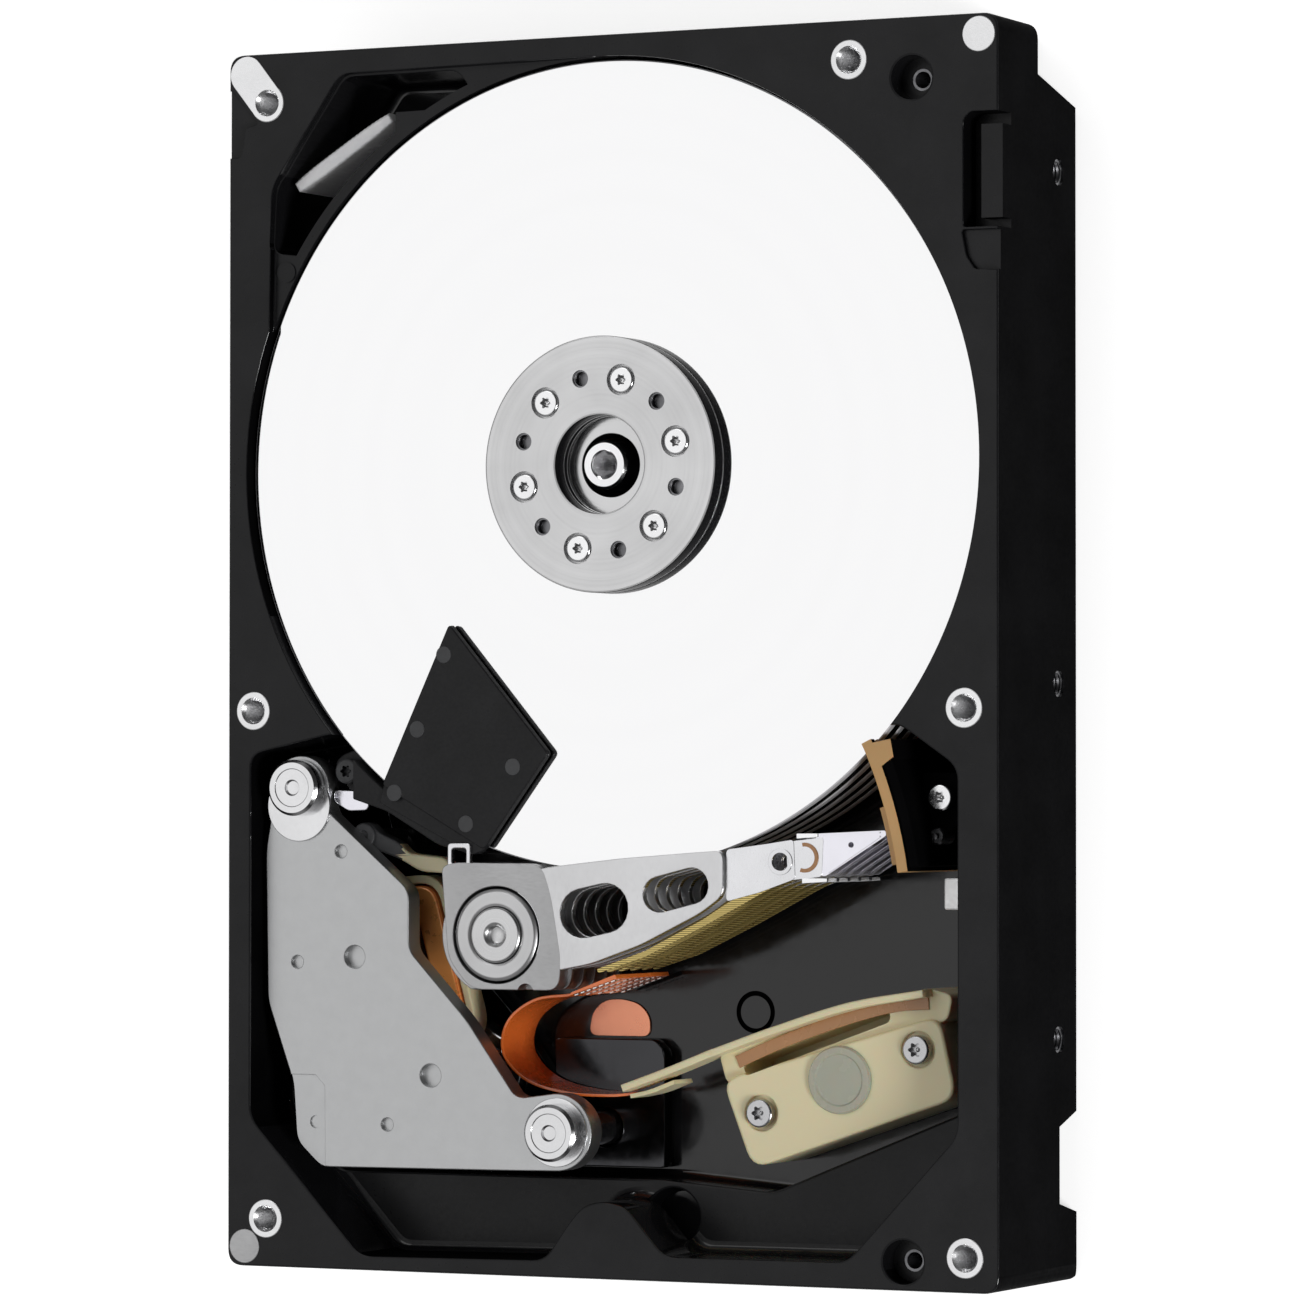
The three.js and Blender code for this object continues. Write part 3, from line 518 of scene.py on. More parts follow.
def circuit_laminate(name):
    """Green solder mask with copper tracks showing through as slightly raised, lighter lines."""
    surface = Surface(name, 0.0, Coat_Weight=0.4, Coat_Roughness=0.12)
    cells = surface.node("TexBrick", {"Vector": surface.coordinates, "Scale": 260.0, "Mortar Size": 0.012,
                                      "Color1": (0, 0, 0, 1), "Color2": (0.25, 0.25, 0.25, 1),
                                      "Mortar": (1, 1, 1, 1)}).outputs["Color"]
    tracks = surface.node("SeparateColor", {0: cells}).outputs[0]
    surface.set_colours(tracks, (0.008, 0.07, 0.035), (0.02, 0.15, 0.07), 0.1, 0.9)
    surface.set_roughness(surface.noise(surface.coordinates, 700.0), 0.25, 0.4)
    surface.set_bump(tracks, 0.4, 0.03)
    return surface.material


M = {
    "coat": grained("black_coat", (0.012, 0.012, 0.013), roughness=(0.26, 0.38), spread=0.2, scale=2200,
                    bump=0.08, depth=0.01, Specular_IOR_Level=0.2),
    # dull black coat of the outer sides and underside; also laid on recess walls and shaded faces as painted
    # shade
    "coat_dull_and_shade": grained("black_coat_dull_and_shade", (0.003, 0.003, 0.0033), roughness=(0.4, 0.55), spread=0.3,
                         scale=1400, bump=0.3, depth=0.02, Specular_IOR_Level=0.002),
    "coat_gloss": grained("black_coat_gloss", (0.008, 0.008, 0.009), roughness=(0.07, 0.16), spread=0.3,
                          scale=700, bump=0.06, depth=0.01, Specular_IOR_Level=0.5),
    "bare": grained("bare_machined", (0.82, 0.82, 0.83), 1.0, (0.22, 0.38), 0.05, 2600, (1, 12, 1), 0.15,
                    0.01),
    "platter": polished_mirror("platter_mirror"),
    "clamp": turned_metal("clamp_nickel", SPINDLE, (0.66, 0.66, 0.665), (0.3, 0.42), 4200, 0.08),
    "hub": turned_metal("hub_turned", SPINDLE, (0.62, 0.62, 0.625), (0.1, 0.18), 4200, 0.06),
    # painted shade: near-black, barely reflective copy of the clamp and hub metal, standing in for the dark
    # reflection on their upright faces
    "painted_dark_side": grained("clamp_and_hub_painted_shade", (0.008, 0.008, 0.009), 0.0, (0.2, 0.3), 0.1, 3000, bump=0.03,
                         Specular_IOR_Level=0.04),
    "platter_edge": grained("platter_edge", (0.62, 0.62, 0.64), 0.2, (0.4, 0.5), 0.05, 3000, bump=0.05),
    "zinc": grained("zinc_steel", (0.5, 0.5, 0.51), 1.0, (0.16, 0.3), 0.06, 1500, bump=0.1, depth=0.01),
    "bright": grained("bright_steel", (0.88, 0.88, 0.89), 1.0, (0.1, 0.2), 0.04, 1800, bump=0.05, depth=0.01),
    "black_nickel": grained("black_nickel", (0.05, 0.05, 0.053), 1.0, (0.1, 0.2), 0.1, 900, bump=0.05,
                            depth=0.01),
    "bearing": turned_metal("bearing_steel", PIVOT, (0.56, 0.56, 0.565), (0.3, 0.4), 4800, 0.1),
    "bearing_core": turned_metal("bearing_core", PIVOT, (0.6, 0.6, 0.605), (0.24, 0.36), 4800, 0.1),
    "post": grained("post_steel", (0.72, 0.72, 0.73), 1.0, (0.12, 0.26), 0.05, 1500, bump=0.1, depth=0.01),
    "boss": grained("boss_aluminium", (0.45, 0.45, 0.455), 1.0, (0.34, 0.48), 0.06, 1500, (1, 6, 1), 0.14,
                    0.01),
    "beam": grained("beam_steel", (0.8, 0.79, 0.85), 1.0, (0.14, 0.26), 0.05, 1500, (8, 1, 1), 0.06, 0.01),
    "gold_plate": grained("gold_plating", (0.95, 0.68, 0.28), 1.0, (0.14, 0.24), 0.05, 1200, bump=0.05),
    "tan_part": grained("capacitor_ceramic", (0.34, 0.2, 0.1), 0.0, (0.4, 0.55), 0.2, 1500, bump=0.2),
    "grey_part": grained("ferrite", (0.09, 0.09, 0.095), 0.0, (0.45, 0.6), 0.2, 1500, bump=0.2),
    "dark_steel": grained("dark_steel", (0.2, 0.2, 0.21), 1.0, (0.25, 0.4), 0.15, 1500, bump=0.1, depth=0.01),
    "arm": grained("arm_aluminium", (0.68, 0.68, 0.69), 1.0, (0.28, 0.42), 0.05, 1500, (6, 1, 1), 0.12, 0.01),
    "yoke": grained("yoke_nickel", (0.52, 0.525, 0.53), 1.0, (0.36, 0.44), 0.02, 7000, bump=0.08,
                    depth=0.008),
    "steel": grained("spring_steel", (0.74, 0.74, 0.76), 1.0, (0.16, 0.3), 0.06, 1600, (8, 1, 1), 0.08, 0.01),
    "gold": gold_traces("flexure_gold"),
    "copper": wound_copper("coil_copper"),
    "amber": grained("polyimide_film", (1.0, 0.19, 0.03), 0.0, (0.2, 0.32), 0.25, 500, bump=0.05,
                     Coat_Weight=0.8, Coat_Roughness=0.08),
    "copper_patch": grained("copper_patch", (0.75, 0.27, 0.14), 0.85, (0.2, 0.3), 0.2, 300, bump=0.05,
                           Coat_Weight=1.0, Coat_Roughness=0.1),
    "brown_film": grained("brown_film", (0.36, 0.17, 0.06), 0.1, (0.2, 0.35), 0.3, 300, bump=0.05,
                          Coat_Weight=0.5),
    "tan": grained("ramp_plastic", (0.56, 0.33, 0.13), 0.0, (0.38, 0.52), 0.16, 700, bump=0.15,
                   Subsurface_Weight=0.15, Subsurface_Scale=0.001),
    "cream": grained("cream_plastic", (0.77, 0.68, 0.44), 0.0, (0.3, 0.46), 0.14, 170, bump=0.12,
                     Subsurface_Weight=0.3, Subsurface_Scale=0.002),
    "milky": grained("milky_plastic", (0.46, 0.45, 0.36), 0.0, (0.2, 0.32), 0.06, 420, bump=0.05,
                     Subsurface_Weight=0.4, Subsurface_Scale=0.002),
    "black": grained("black_plastic", (0.011, 0.011, 0.012), 0.0, (0.4, 0.55), 0.2, 2600, bump=0.25,
                     Specular_IOR_Level=0.25),
    # dark grey of mould marks, the latch pin and the chip's pin-one dot; also painted shade on the latch
    # lever and the damper screw
    "dot": grained("dark_grey_marks_and_shade", (0.05, 0.051, 0.054), 0.0, (0.5, 0.62), 0.15, 1500, bump=0.3),
    "felt": grained("filter_felt", (0.95, 0.95, 1.0), 0.45, (0.5, 0.65), 0.08, 1900, (1, 1, 3), 0.9, 0.12,
                    Sheen_Weight=0.4, Subsurface_Weight=0.8, Subsurface_Scale=0.006,
                    Subsurface_Radius=(1.0, 1.0, 1.0)),
    "pad": grained("breather_felt", (0.95, 0.95, 0.95), 0.7, (0.45, 0.6), 0.04, 1900, bump=0.4, depth=0.05),
    "magnet": grained("magnet_nickel", (0.72, 0.72, 0.73), 1.0, (0.14, 0.24), 0.05, 900, bump=0.08),
    "board": circuit_laminate("circuit_laminate"),
    "chip": grained("chip_epoxy", (0.018, 0.018, 0.02), 0.0, (0.45, 0.6), 0.2, 2600, bump=0.4),
    "tin": grained("tinned_pads", (0.75, 0.75, 0.74), 1.0, (0.25, 0.4), 0.08, 1800, bump=0.2),
}


def place(thing, body, slot, *nodes, material=None):
    """Paints a piece when a material is given, settles its shading, hangs it on its body and hides the CAD
    nodes that it stands for.
    """
    if material:
        painted(thing, material)
    settle(thing)
    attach(thing, body)
    if nodes:
        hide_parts(*nodes)
    return thing


def repaint(thing, material, test):
    """Gives the faces that pass the test, of centre in millimetres and normal, a second material."""
    thing.data.materials.append(M[material])
    for face in thing.data.polygons:
        if test(face.center / MM, face.normal):
            face.material_index = len(thing.data.materials) - 1


def painted(thing, material):
    thing.data.materials.clear()
    thing.data.materials.append(M[material])
    return thing


# ---- camera, light and floor -------------------------------------------------------------------

def aim(thing, direction, up):
    back, up = -Vector(direction).normalized(), Vector(up)
    side = up.cross(back).normalized()
    turn = Matrix((side, back.cross(side), back)).transposed().to_4x4()
    thing.matrix_world = Matrix.Translation(thing.location) @ turn


def add_camera():
    data = bpy.data.cameras.new("camera")
    data.sensor_width, data.lens = 36.0, 175.8
    data.clip_start, data.clip_end = 0.01, 20
    camera = to_object("camera", data)
    camera.location = (0.3371, -0.0158, 0.6960)
    aim(camera, (-0.4414, 0.0216, -0.8970), (0.0091, 0.9998, 0.0196))
    bpy.context.scene.camera = camera


def add_light(name, place_m, size, watts):
    data = bpy.data.lights.new(name, "AREA")
    data.shape, data.size, data.energy = "DISK", size, watts
    light = to_object(name, data)
    light.location = place_m
    aim(light, Vector((0, 0, 0.01)) - Vector(place_m), (0, 1, 0.01))


def add_world():
    """Studio dome: brighter overhead, and falling into shadow on the side of the viewer."""
    world = bpy.data.worlds.new("studio")
    bpy.context.scene.world = world
    world.use_nodes = True
    tree = world.node_tree
    coordinates = tree.nodes.new("ShaderNodeTexCoord")
    parts = tree.nodes.new("ShaderNodeSeparateXYZ")
    tree.links.new(coordinates.outputs["Generated"], parts.inputs[0])

    def ramp(axis, stops):
        made = tree.nodes.new("ShaderNodeValToRGB")
        while len(made.color_ramp.elements) < len(stops):
            made.color_ramp.elements.new(0.5)
        for element, (position, value) in zip(made.color_ramp.elements, stops):
            element.position, element.color = position, (value, value, value, 1)
        tree.links.new(parts.outputs[axis], made.inputs[0])
        return made.outputs[0]

    background = tree.nodes["Background"]
    upward = ramp(2, [(0.0, 0.18), (0.35, 0.22), (0.62, 0.34), (0.86, 0.42)])
    across = ramp(0, [(0.0, 0.95), (0.12, 0.6), (0.34, 0.12), (0.8, 0.1)])
    tree.links.new(upward, background.inputs["Color"])
    tree.links.new(across, background.inputs["Strength"])


def add_floor():
    mesh = bpy.data.meshes.new("floor")
    mesh.from_pydata([(-4, -4, 0), (4, -4, 0), (4, 4, 0), (-4, 4, 0)], [], [(0, 1, 2, 3)])
    floor = to_object("floor", mesh)
    floor.location.z = -0.0002
    mesh.materials.append(grained("floor_paper", (0.92, 0.92, 0.92), roughness=(0.6, 0.7), spread=0.01,
                                  scale=60, bump=0.02,
                                  Emission_Color=(1, 1, 1, 1), Emission_Strength=0.66))


add_camera()
add_world()
add_floor()
add_light("overhead_box", (-0.60, 0.03, 1.22), 1.5, 3.3)
add_light("far_box", (-0.35, 0.80, 0.95), 0.6, 0.9)
add_light("side_strip", (0.75, -0.35, 0.45), 0.3, 4.5)
bpy.context.scene.view_settings.view_transform = "Standard"


# ---- base deck ---------------------------------------------------------------------------------

FAR_RAIL_CUT = [(64.4, -1), (64.4, 0), (67.5, 12.5), (80, 12.5), (80, -1)]
NEAR_RAIL_NOTCH = [(-65.6, -1), (-65.6, 0), (-64.2, 6.2), (-55.2, 6.2), (-53.2, 0), (-53.2, -1)]
EDGE_BEVEL = [(50.1, -0.1), (51, -0.1), (51, 1.4)]


def side_cutter(name, side, outline_yz, deep):
    """Cutter through one side of the deck: outline in (y, z), `deep` into the side."""
    cutter = prism(name, outline_yz, 0, deep + 1)
    inner = side * (HALF_WIDTH - deep)
    for vertex in cutter.data.vertices:
        y, z, depth = vertex.co
        vertex.co = (inner * MM + side * depth, y, z)
    if side < 0:
        cutter.data.flip_normals()
    return cutter


def edge_bevel(side):
    """Cutter along the whole lower edge of one side, with a triangular section."""
    corners = [(side * x * MM, y * MM, z * MM) for y in (-80, 80) for x, z in EDGE_BEVEL]
    mesh = bpy.data.meshes.new("edge_bevel")
    mesh.from_pydata(corners, [], [(0, 2, 1), (3, 4, 5), (0, 1, 4, 3), (1, 2, 5, 4), (2, 0, 3, 5)])
    if side > 0:
        mesh.flip_normals()
    return to_object("edge_bevel", mesh)


def filter_well_cutter():
    """Pocket of the recirculation filter, outside the shroud wall and beside its ledge."""
    outline = [(-20, 70.4), (-35.3, 70.3), (-44.7, 57.1), (-45.1, 49.3), (-39, 48.6), (-25, 60), (-18.2, 68)]
    well = pocket("filter_well", rounded(outline, 1.2), FILTER_WELL_Z, SHELF_Z, 0.15, 0.8)
    boolean(well, [disc("shroud", SPINDLE, BAY_RADIUS + SHROUD_WALL, 0, ABOVE + 1, 256)])
    ledge = [(-28.4, 50), (-28.4, 65.7), (-22.6, 65.8), (-18, 68.2), (-10, 60)]
    return boolean(well, [prism("filter_ledge", ledge, 0, ABOVE + 1)])


def edge_recess_cutter():
    """Recess in the right rim that leaves an island standing at its outer edge."""
    outline = [(46.4, 48.9), (46.4, 61.3), (47.3, 62.2), (52, 62.2), (52, 48.9)]
    recess = pocket("edge_recess", rounded(outline, 0.4), 20.5, RIM_Z, 0.12)
    return boolean(recess, [box("edge_pad", (48.15, 53), (50, 60.8), (0, 23))])


def open_face_cutters():
    """Cutters that reach the deck from above, in the groups that cut together."""
    shelf = [(0, 71), (-35.5, 70.6), (-44.9, 57.2), (-45.4, 30), (-30, 50)]
    mouth = [(-47.7, -11.6), (-47.7, -55.5), (-32.4, -71.8), (-7.6, -71.5), (-4.6, -67.2), (-2.6, -64.9),
             (0.2, -64.3), (3.2, -64.9), (5.2, -67.2), (8.2, -70.6), (31.6, -70.5), (45.6, -55.5),
             (45.6, -13.2), (38, -8), (0, -20), (-36, -9)]
    well = [(-47.5, -11.8), (-47.3, -54.5), (-41, -62.2), (2.4, -62.2), (17.4, -63.4), (44.9, -52.2),
            (45.2, -13.6), (37, -9), (0, -18), (-36, -10)]
    corner = [(-52, 69.2), (-50.4, 69.2), (-46.8, 65), (-48.6, 64.6), (-48.9, 62.3), (-49.3, 61), (-52, 61)]
    edge_step = [(46.2, 48.6), (52, 48.6), (52, 43.9), (47.9, 44), (46.8, 45.6)]
    well_top = LEDGE_Z + 1.4
    return [
        [pocket("disk_bay", circle(SPINDLE, BAY_RADIUS, 256), FLOOR_Z, RIM_Z, 0.1, 0.6)],
        [pocket("shelf", rounded(shelf, 1.5), SHELF_Z, RIM_Z, 0.12, 0.2)],
        [filter_well_cutter()],
        [pocket("bay_mouth", rounded(mouth, 1.6), LEDGE_Z, RIM_Z, fillet=1.3)],
        [pocket("bay_well", rounded(well, 1.4), FLOOR_Z, LEDGE_Z, 0.3, 0.8, well_top)],
        [pocket("drain", circle((4.4, -66.6), 3.4, 48), LEDGE_Z - 3, LEDGE_Z, 0.3, 0.5, well_top)],
        [edge_recess_cutter()],
        [pocket("corner_step", rounded(corner, 0.5), RIM_Z - 0.5, RIM_Z, 0.08)],
        [pocket("edge_step", rounded(edge_step, 0.4), 23.6, RIM_Z, 0.12)],
        [disc("cover_hole", at, 1.6, 15.9, ABOVE) for at in COVER_HOLES],
        [pocket("sunk_hole", circle(at, 2.5, 48), SUNK_FLOOR_Z, RIM_Z, 0.3) for at in SUNK_HOLES],
        [disc("sunk_bore", at, 1.3, 14, ABOVE - 1) for at in SUNK_HOLES],
    ]


def underside_cutters():
    """Cutters that reach the deck from below, in the groups that cut together."""
    board = [(-45.2, -75), (45.2, -75), (45.2, 21.5), (-45.2, 21.5)]
    relief = [(-44, 26), (44, 26), (44, 58), (30, 68.5), (-30, 68.5), (-44, 58)]
    hollows = [prism("board_recess", rounded(board, 2), -1, 4), prism("relief", rounded(relief, 3), -1, 3)]
    for cutter in hollows:
        boolean(cutter, [disc("motor_boss", SPINDLE, 15.5, -2, 5, 96)])
    return [
        hollows,
        [disc("motor_dish", SPINDLE, 13.5, -1, 3.2, 96)],
        [box("plug_pocket", (-42.6, 1.2), (-75, -64.6), (-1, 9.6))],
        [disc("board_thread", at, 1.05, 3, 5.2, 24) for at in BOARD_SCREWS],
    ]


def side_cutters():
    cutters = []
    for side in (-1, 1):
        cutters += [side_cutter("rail_cut", side, FAR_RAIL_CUT, 5.6),
                    side_cutter("rail_cut", side, NEAR_RAIL_NOTCH, 4.5), edge_bevel(side)]
        cutters += [side_cutter("side_hole", side, circle((y, SIDE_HOLE_Z), 1.6, 32), 3.8)
                    for y in SIDE_HOLES_Y]
        cutters += [disc("bottom_hole", (side * BOTTOM_HOLE_X, y), 1.6, -1, 4.2, 32)
                    for y in BOTTOM_HOLES_Y]
    return cutters


def build_deck():
    edge = [(-HALF_WIDTH, -HALF_LENGTH), (HALF_WIDTH, -HALF_LENGTH),
            (HALF_WIDTH, HALF_LENGTH), (-HALF_WIDTH, HALF_LENGTH)]
    deck = plate("deck_casting", rounded(edge, 2, 8), 0, RIM_Z, edge=0.25, steps=2)
    for group in [*open_face_cutters(), *underside_cutters(), side_cutters()]:
        boolean(deck, group)
    boolean(deck, [disc("motor_centre", SPINDLE, 9.5, 0.3, 3.4, 96)], "UNION")
    boolean(deck, [lathe("floor_ring", FLOOR_RING, band(1.95, 2.55, FLOOR_Z - 0.5, FLOOR_Z + 0.5), 48)])
    boolean(deck, [disc("shelf_mark", (-43.4, 46.9), 1.25, SHELF_Z - 0.4, SHELF_Z + 0.2, 40)], "UNION")
    painted(deck, "coat")
    # The dull coat goes on the outer sides and underside, and as painted shade on pocket walls near the sides
    # and in the floor ring's groove.
    repaint(deck, "coat_dull_and_shade", is_dull_or_shaded)
    repaint(deck, "coat_gloss", lambda at, normal: not is_dull_or_shaded(at, normal)
            and (normal.z < 0.9 or at.z < LEDGE_Z - 0.5))
    place(deck, "base", "deck_coat", "base_deck")


def is_dull_or_shaded(at, normal):
    """Whether a deck face gets the dull black coat: the outer sides and underside, and as painted shade the
    upright walls near the sides and the floor of the floor ring's groove.
    """
    side_band, end_band = 5.7, 2.2
    # painted shade: the floor of the floor ring's groove, given the dull coat as its shadow
    ring = (at.xy - Vector(FLOOR_RING)).length < 3 and FLOOR_Z - 0.6 < at.z < FLOOR_Z - 0.3
    side = abs(at.x) > HALF_WIDTH - side_band or abs(at.y) > HALF_LENGTH - end_band
    return ring and normal.z > 0.5 or normal.z < 0.3 and (side or normal.z < -0.5)


# ---- screws, threaded holes and machined pads ----------------------------------------------------

def lobes(at, radius):
    """Six-lobed socket outline."""
    return [polar(at, radius * (0.85 + 0.15 * math.cos(math.radians(6 * a))), a) for a in range(0, 360, 6)]


def torx_screw(name, at, head, top, seat, bottom, socket=0.78, finish="bright"):
    """Screw with a flat head from `seat` to `top`, and a plain shank down to `bottom`."""
    shank = 0.75
    screw = lathe(name, at, [(0, bottom), (shank, bottom), (shank, seat), (head, seat), (head, top - 0.16),
                             (head - 0.2, top), (0, top)], 48, 0.07)
    boolean(screw, [prism("socket", lobes(at, socket), top - 0.85, top + 1)])
    tip = lathe("socket_tip", at, [(0, top - 0.9), (socket * 0.35, top - 0.9), (0, top - 0.5)], 16)
    return painted(joined(name, [screw, tip]), finish)


def threaded(radius, bottom, top, pitch=0.5, depth=0.14):
    """Lathe profile points down a threaded wall."""
    points, z = [], top
    while z - pitch > bottom:
        points += [(radius, z), (radius + depth, z - pitch / 2)]
        z -= pitch
    return points + [(radius, bottom)]


def cover_hole_insert(at):
    """Bright machined spot face around a threaded hole in the rim."""
    wall, low, high = 1.62, RIM_Z - 0.05, RIM_Z + 0.09
    profile = [(0, 16.0), (wall, 16.0), (wall, low), (2.3, low), (2.3, RIM_Z + 0.05), (2.22, high),
               (wall, high), *threaded(1.28, 16.6, RIM_Z - 0.35), (0, 16.4)]
    return painted(lathe("hole_insert", at, profile, 48), "bare")


def hole_lining(at, deep, radius=1.6, turn=Matrix()):
    """Threaded steel lining of a hole: its mouth at a place, and going down unless it is turned."""
    profile = [(0, -deep), (radius - 0.02, -deep), (radius - 0.02, -0.25),
               *threaded(radius - 0.32, -deep + 0.4, -0.3), (0, -deep + 0.3)]
    return moved(painted(lathe("hole_lining", (0, 0), profile, 40), "dark_steel"), at, turn)


def datum_slot():
    """Long bare pad from the first cover hole to the corner."""
    end, hole = Vector((-48.35, 71.05)), Vector(COVER_HOLES[0])
    along = end - hole
    tilt = math.degrees(math.atan2(along.y, along.x))
    pad = slot_outline((end + hole) / 2, along.length + 4.5, 4.5, tilt, 16)
    return painted(plate("datum_slot", pad, RIM_Z - 0.05, RIM_Z + 0.12, [circle(hole, 1.6)], 0.04), "bare")


def add_machined_marks():
    parts = [cover_hole_insert(at) for at in COVER_HOLES]
    # painted shade: the second pad, of the same machined finish, takes the darker boss metal for the dimmer
    # light it gets
    for at, finish in zip(DATUM_PADS, ("bare", "boss")):
        pad = lathe("datum_pad", at, button(2.05, RIM_Z - 0.05, RIM_Z + 0.06, RIM_Z + 0.1), 48)
        parts.append(painted(pad, finish))
    place(joined("machined_marks", [*parts, datum_slot()]), "base", "bright_steel")
    linings = []
    for side in (-1, 1):
        outwards = Matrix.Rotation(math.radians(90 * side), 4, "Y")
        linings += [hole_lining((side * HALF_WIDTH, y, SIDE_HOLE_Z), 3.7, turn=outwards)
                    for y in SIDE_HOLES_Y]
        linings += [hole_lining((side * BOTTOM_HOLE_X, y, 0), 4.1, turn=UPSIDE_DOWN)
                    for y in BOTTOM_HOLES_Y]
    linings += [hole_lining((*at, SUNK_FLOOR_Z), 7.0, 1.3) for at in SUNK_HOLES]
    place(joined("hole_linings", linings), "base", "bright_steel")


# ---- spindle -------------------------------------------------------------------------------------

def from_spindle(at):
    return (at.xy - Vector(SPINDLE)).length


def add_platters():
    ease, edge = 0.15, PLATTER_RADIUS - 0.15
    for i in range(PLATTERS):
        top = TOP_PLATTER_Z - PITCH * i
        bottom = top - PLATTER_THICK
        disk = lathe(f"disk_{i + 1}", SPINDLE, [(PLATTER_BORE, bottom), (edge, bottom),
                                               (PLATTER_RADIUS, bottom + ease), (PLATTER_RADIUS, top - ease),
                                               (edge, top), (PLATTER_BORE, top)], 256)
        painted(disk, "platter")
        repaint(disk, "platter_edge", lambda at, normal: from_spindle(at) > PLATTER_RADIUS - 0.14)
        place(disk, "spindle", "platter_mirror", f"platter_{i + 1}")


def clamp_circle(offset=0.0, grow=0.0):
    """Six places round the clamp: its screws, or at an offset its balance holes."""
    return [polar(SPINDLE, CLAMP_SCREW_CIRCLE + grow, CLAMP_SCREW_START + offset + 60 * i) for i in range(6)]


def add_clamp():
    screws, balance = clamp_circle(), clamp_circle(30, 0.15)
    balance_floor = CLAMP_TOP_Z - 1.6
    ring = band(CLAMP_BORE, CLAMP_RADIUS, TOP_PLATTER_Z + 0.1, CLAMP_TOP_Z)
    clamp = lathe("clamp_ring", SPINDLE, ring, 192, 0.22)
    boolean(clamp, [disc("screw_well", at, 1.86, CLAMP_TOP_Z - 0.9, ABOVE, 40) for at in screws])
    boolean(clamp, [disc("screw_hole", at, 1.15, 20, ABOVE, 32) for at in screws])
    boolean(clamp, [disc("balance_hole", at, 1.05, balance_floor, ABOVE, 32) for at in balance])
    painted(clamp, "clamp")
    # painted shade: the clamp's outer side and bore wall take the near-black copy of its metal as their dark
    # reflection
    repaint(clamp, "painted_dark_side", lambda at, normal: abs(normal.z) < 0.6 and not 6.5 < from_spindle(at) < 15)
    place(clamp, "spindle", "nickel_steel", "disk_clamp")
    cups = [threaded_cup(at, 1.05, balance_floor, CLAMP_TOP_Z - 0.3) for at in balance]
    place(joined("balance_threads", cups), "spindle", "nickel_steel")
    for i, at in enumerate(screws):
        screw = torx_screw(f"torx_clamp_{i + 1}", at, 1.6, CLAMP_TOP_Z - 0.02, CLAMP_TOP_Z - 0.8, 17.3, 0.72)
        place(screw, "spindle", "bright_steel", f"clamp_screw_{i + 1}")


def threaded_cup(at, radius, bottom, top):
    profile = [(0, bottom), (radius, bottom), (radius, top),
               *threaded(radius - 0.2, bottom + 0.3, top, 0.35, 0.12), (0, bottom + 0.25)]
    return painted(lathe("balance_thread", at, profile, 32), "dark_steel")


def add_hub():
    lowest = TOP_PLATTER_Z - PITCH * (PLATTERS - 1) - PLATTER_THICK - 0.1
    hub = lathe("rotor_hub", SPINDLE,
                [(HUB_BORE, HUB_FLOOR_Z), (HUB_BORE, 10), (4.8, 10), (4.8, 16.4), (10.4, 16.4), (10.4, 7.3),
                 (15.6, 7.3), (15.6, lowest), (12.2, lowest), (12.2, 22.7), (CLAMP_BORE, 22.7),
                 (CLAMP_BORE, HUB_FLOOR_Z)], 128, 0.06)
    boolean(hub, [disc("hub_thread", at, 0.95, 16.9, ABOVE, 24) for at in clamp_circle()])
    painted(hub, "hub")
    # painted shade: the hub's bore wall above its floor takes the near-black copy as the shade in the bore
    repaint(hub, "painted_dark_side", lambda at, normal: abs(normal.z) < 0.6 and at.z > HUB_FLOOR_Z
            and from_spindle(at) < CLAMP_BORE + 0.1)
    place(hub, "spindle", "satin_aluminium", "hub")
    shaft = lathe("fixed_shaft", SPINDLE,
                  [(0, 6.9), (4.4, 6.9), (4.4, 8.4), (2.9, 8.8), (2.9, 23.45), (2.6, 23.8), (1.75, 23.8),
                   (1.55, 23.55), *threaded(1.5, 17.2, 23.4, 0.5, 0.1), (0, 16.4)], 64)
    place(shaft, "base", "bright_steel", "motor_shaft", material="bright")
    for i in range(PLATTERS - 1):
        top = TOP_PLATTER_Z - PITCH * i - PLATTER_THICK - 0.1
        ring = band(12.5, CLAMP_RADIUS, TOP_PLATTER_Z - PITCH * (i + 1) + 0.1, top)
        spacer = lathe(f"spacer_ring_{i + 1}", SPINDLE, ring, 96, 0.12)
        place(spacer, "spindle", "satin_aluminium", f"spacer_{i + 1}", material="hub")


# ---- actuator ------------------------------------------------------------------------------------

def arm_level(i):
    """Middle height of arm `i`, counted from the top."""
    return TOP_PLATTER_Z + 0.92 - PITCH * i


BOSS = [(-21.5, -25), (-19.8, -24.5), (-8, -24.6), (-6.7, -28.5), (-5.4, -36), (-5.8, -39.6),
        (-17.6, -39.6), (-20.6, -36)]
WIRE_NOTCH = (-10.2, -39.9)
ARM = [(-12, -26), (-7.4, -25), (2.4, -23.9), (12.8, -23.1), (15.8, -22.9), (15.8, -28.2), (12.8, -30.3),
       (5, -34.1), (-1.6, -36.4), (-8, -37.6)]


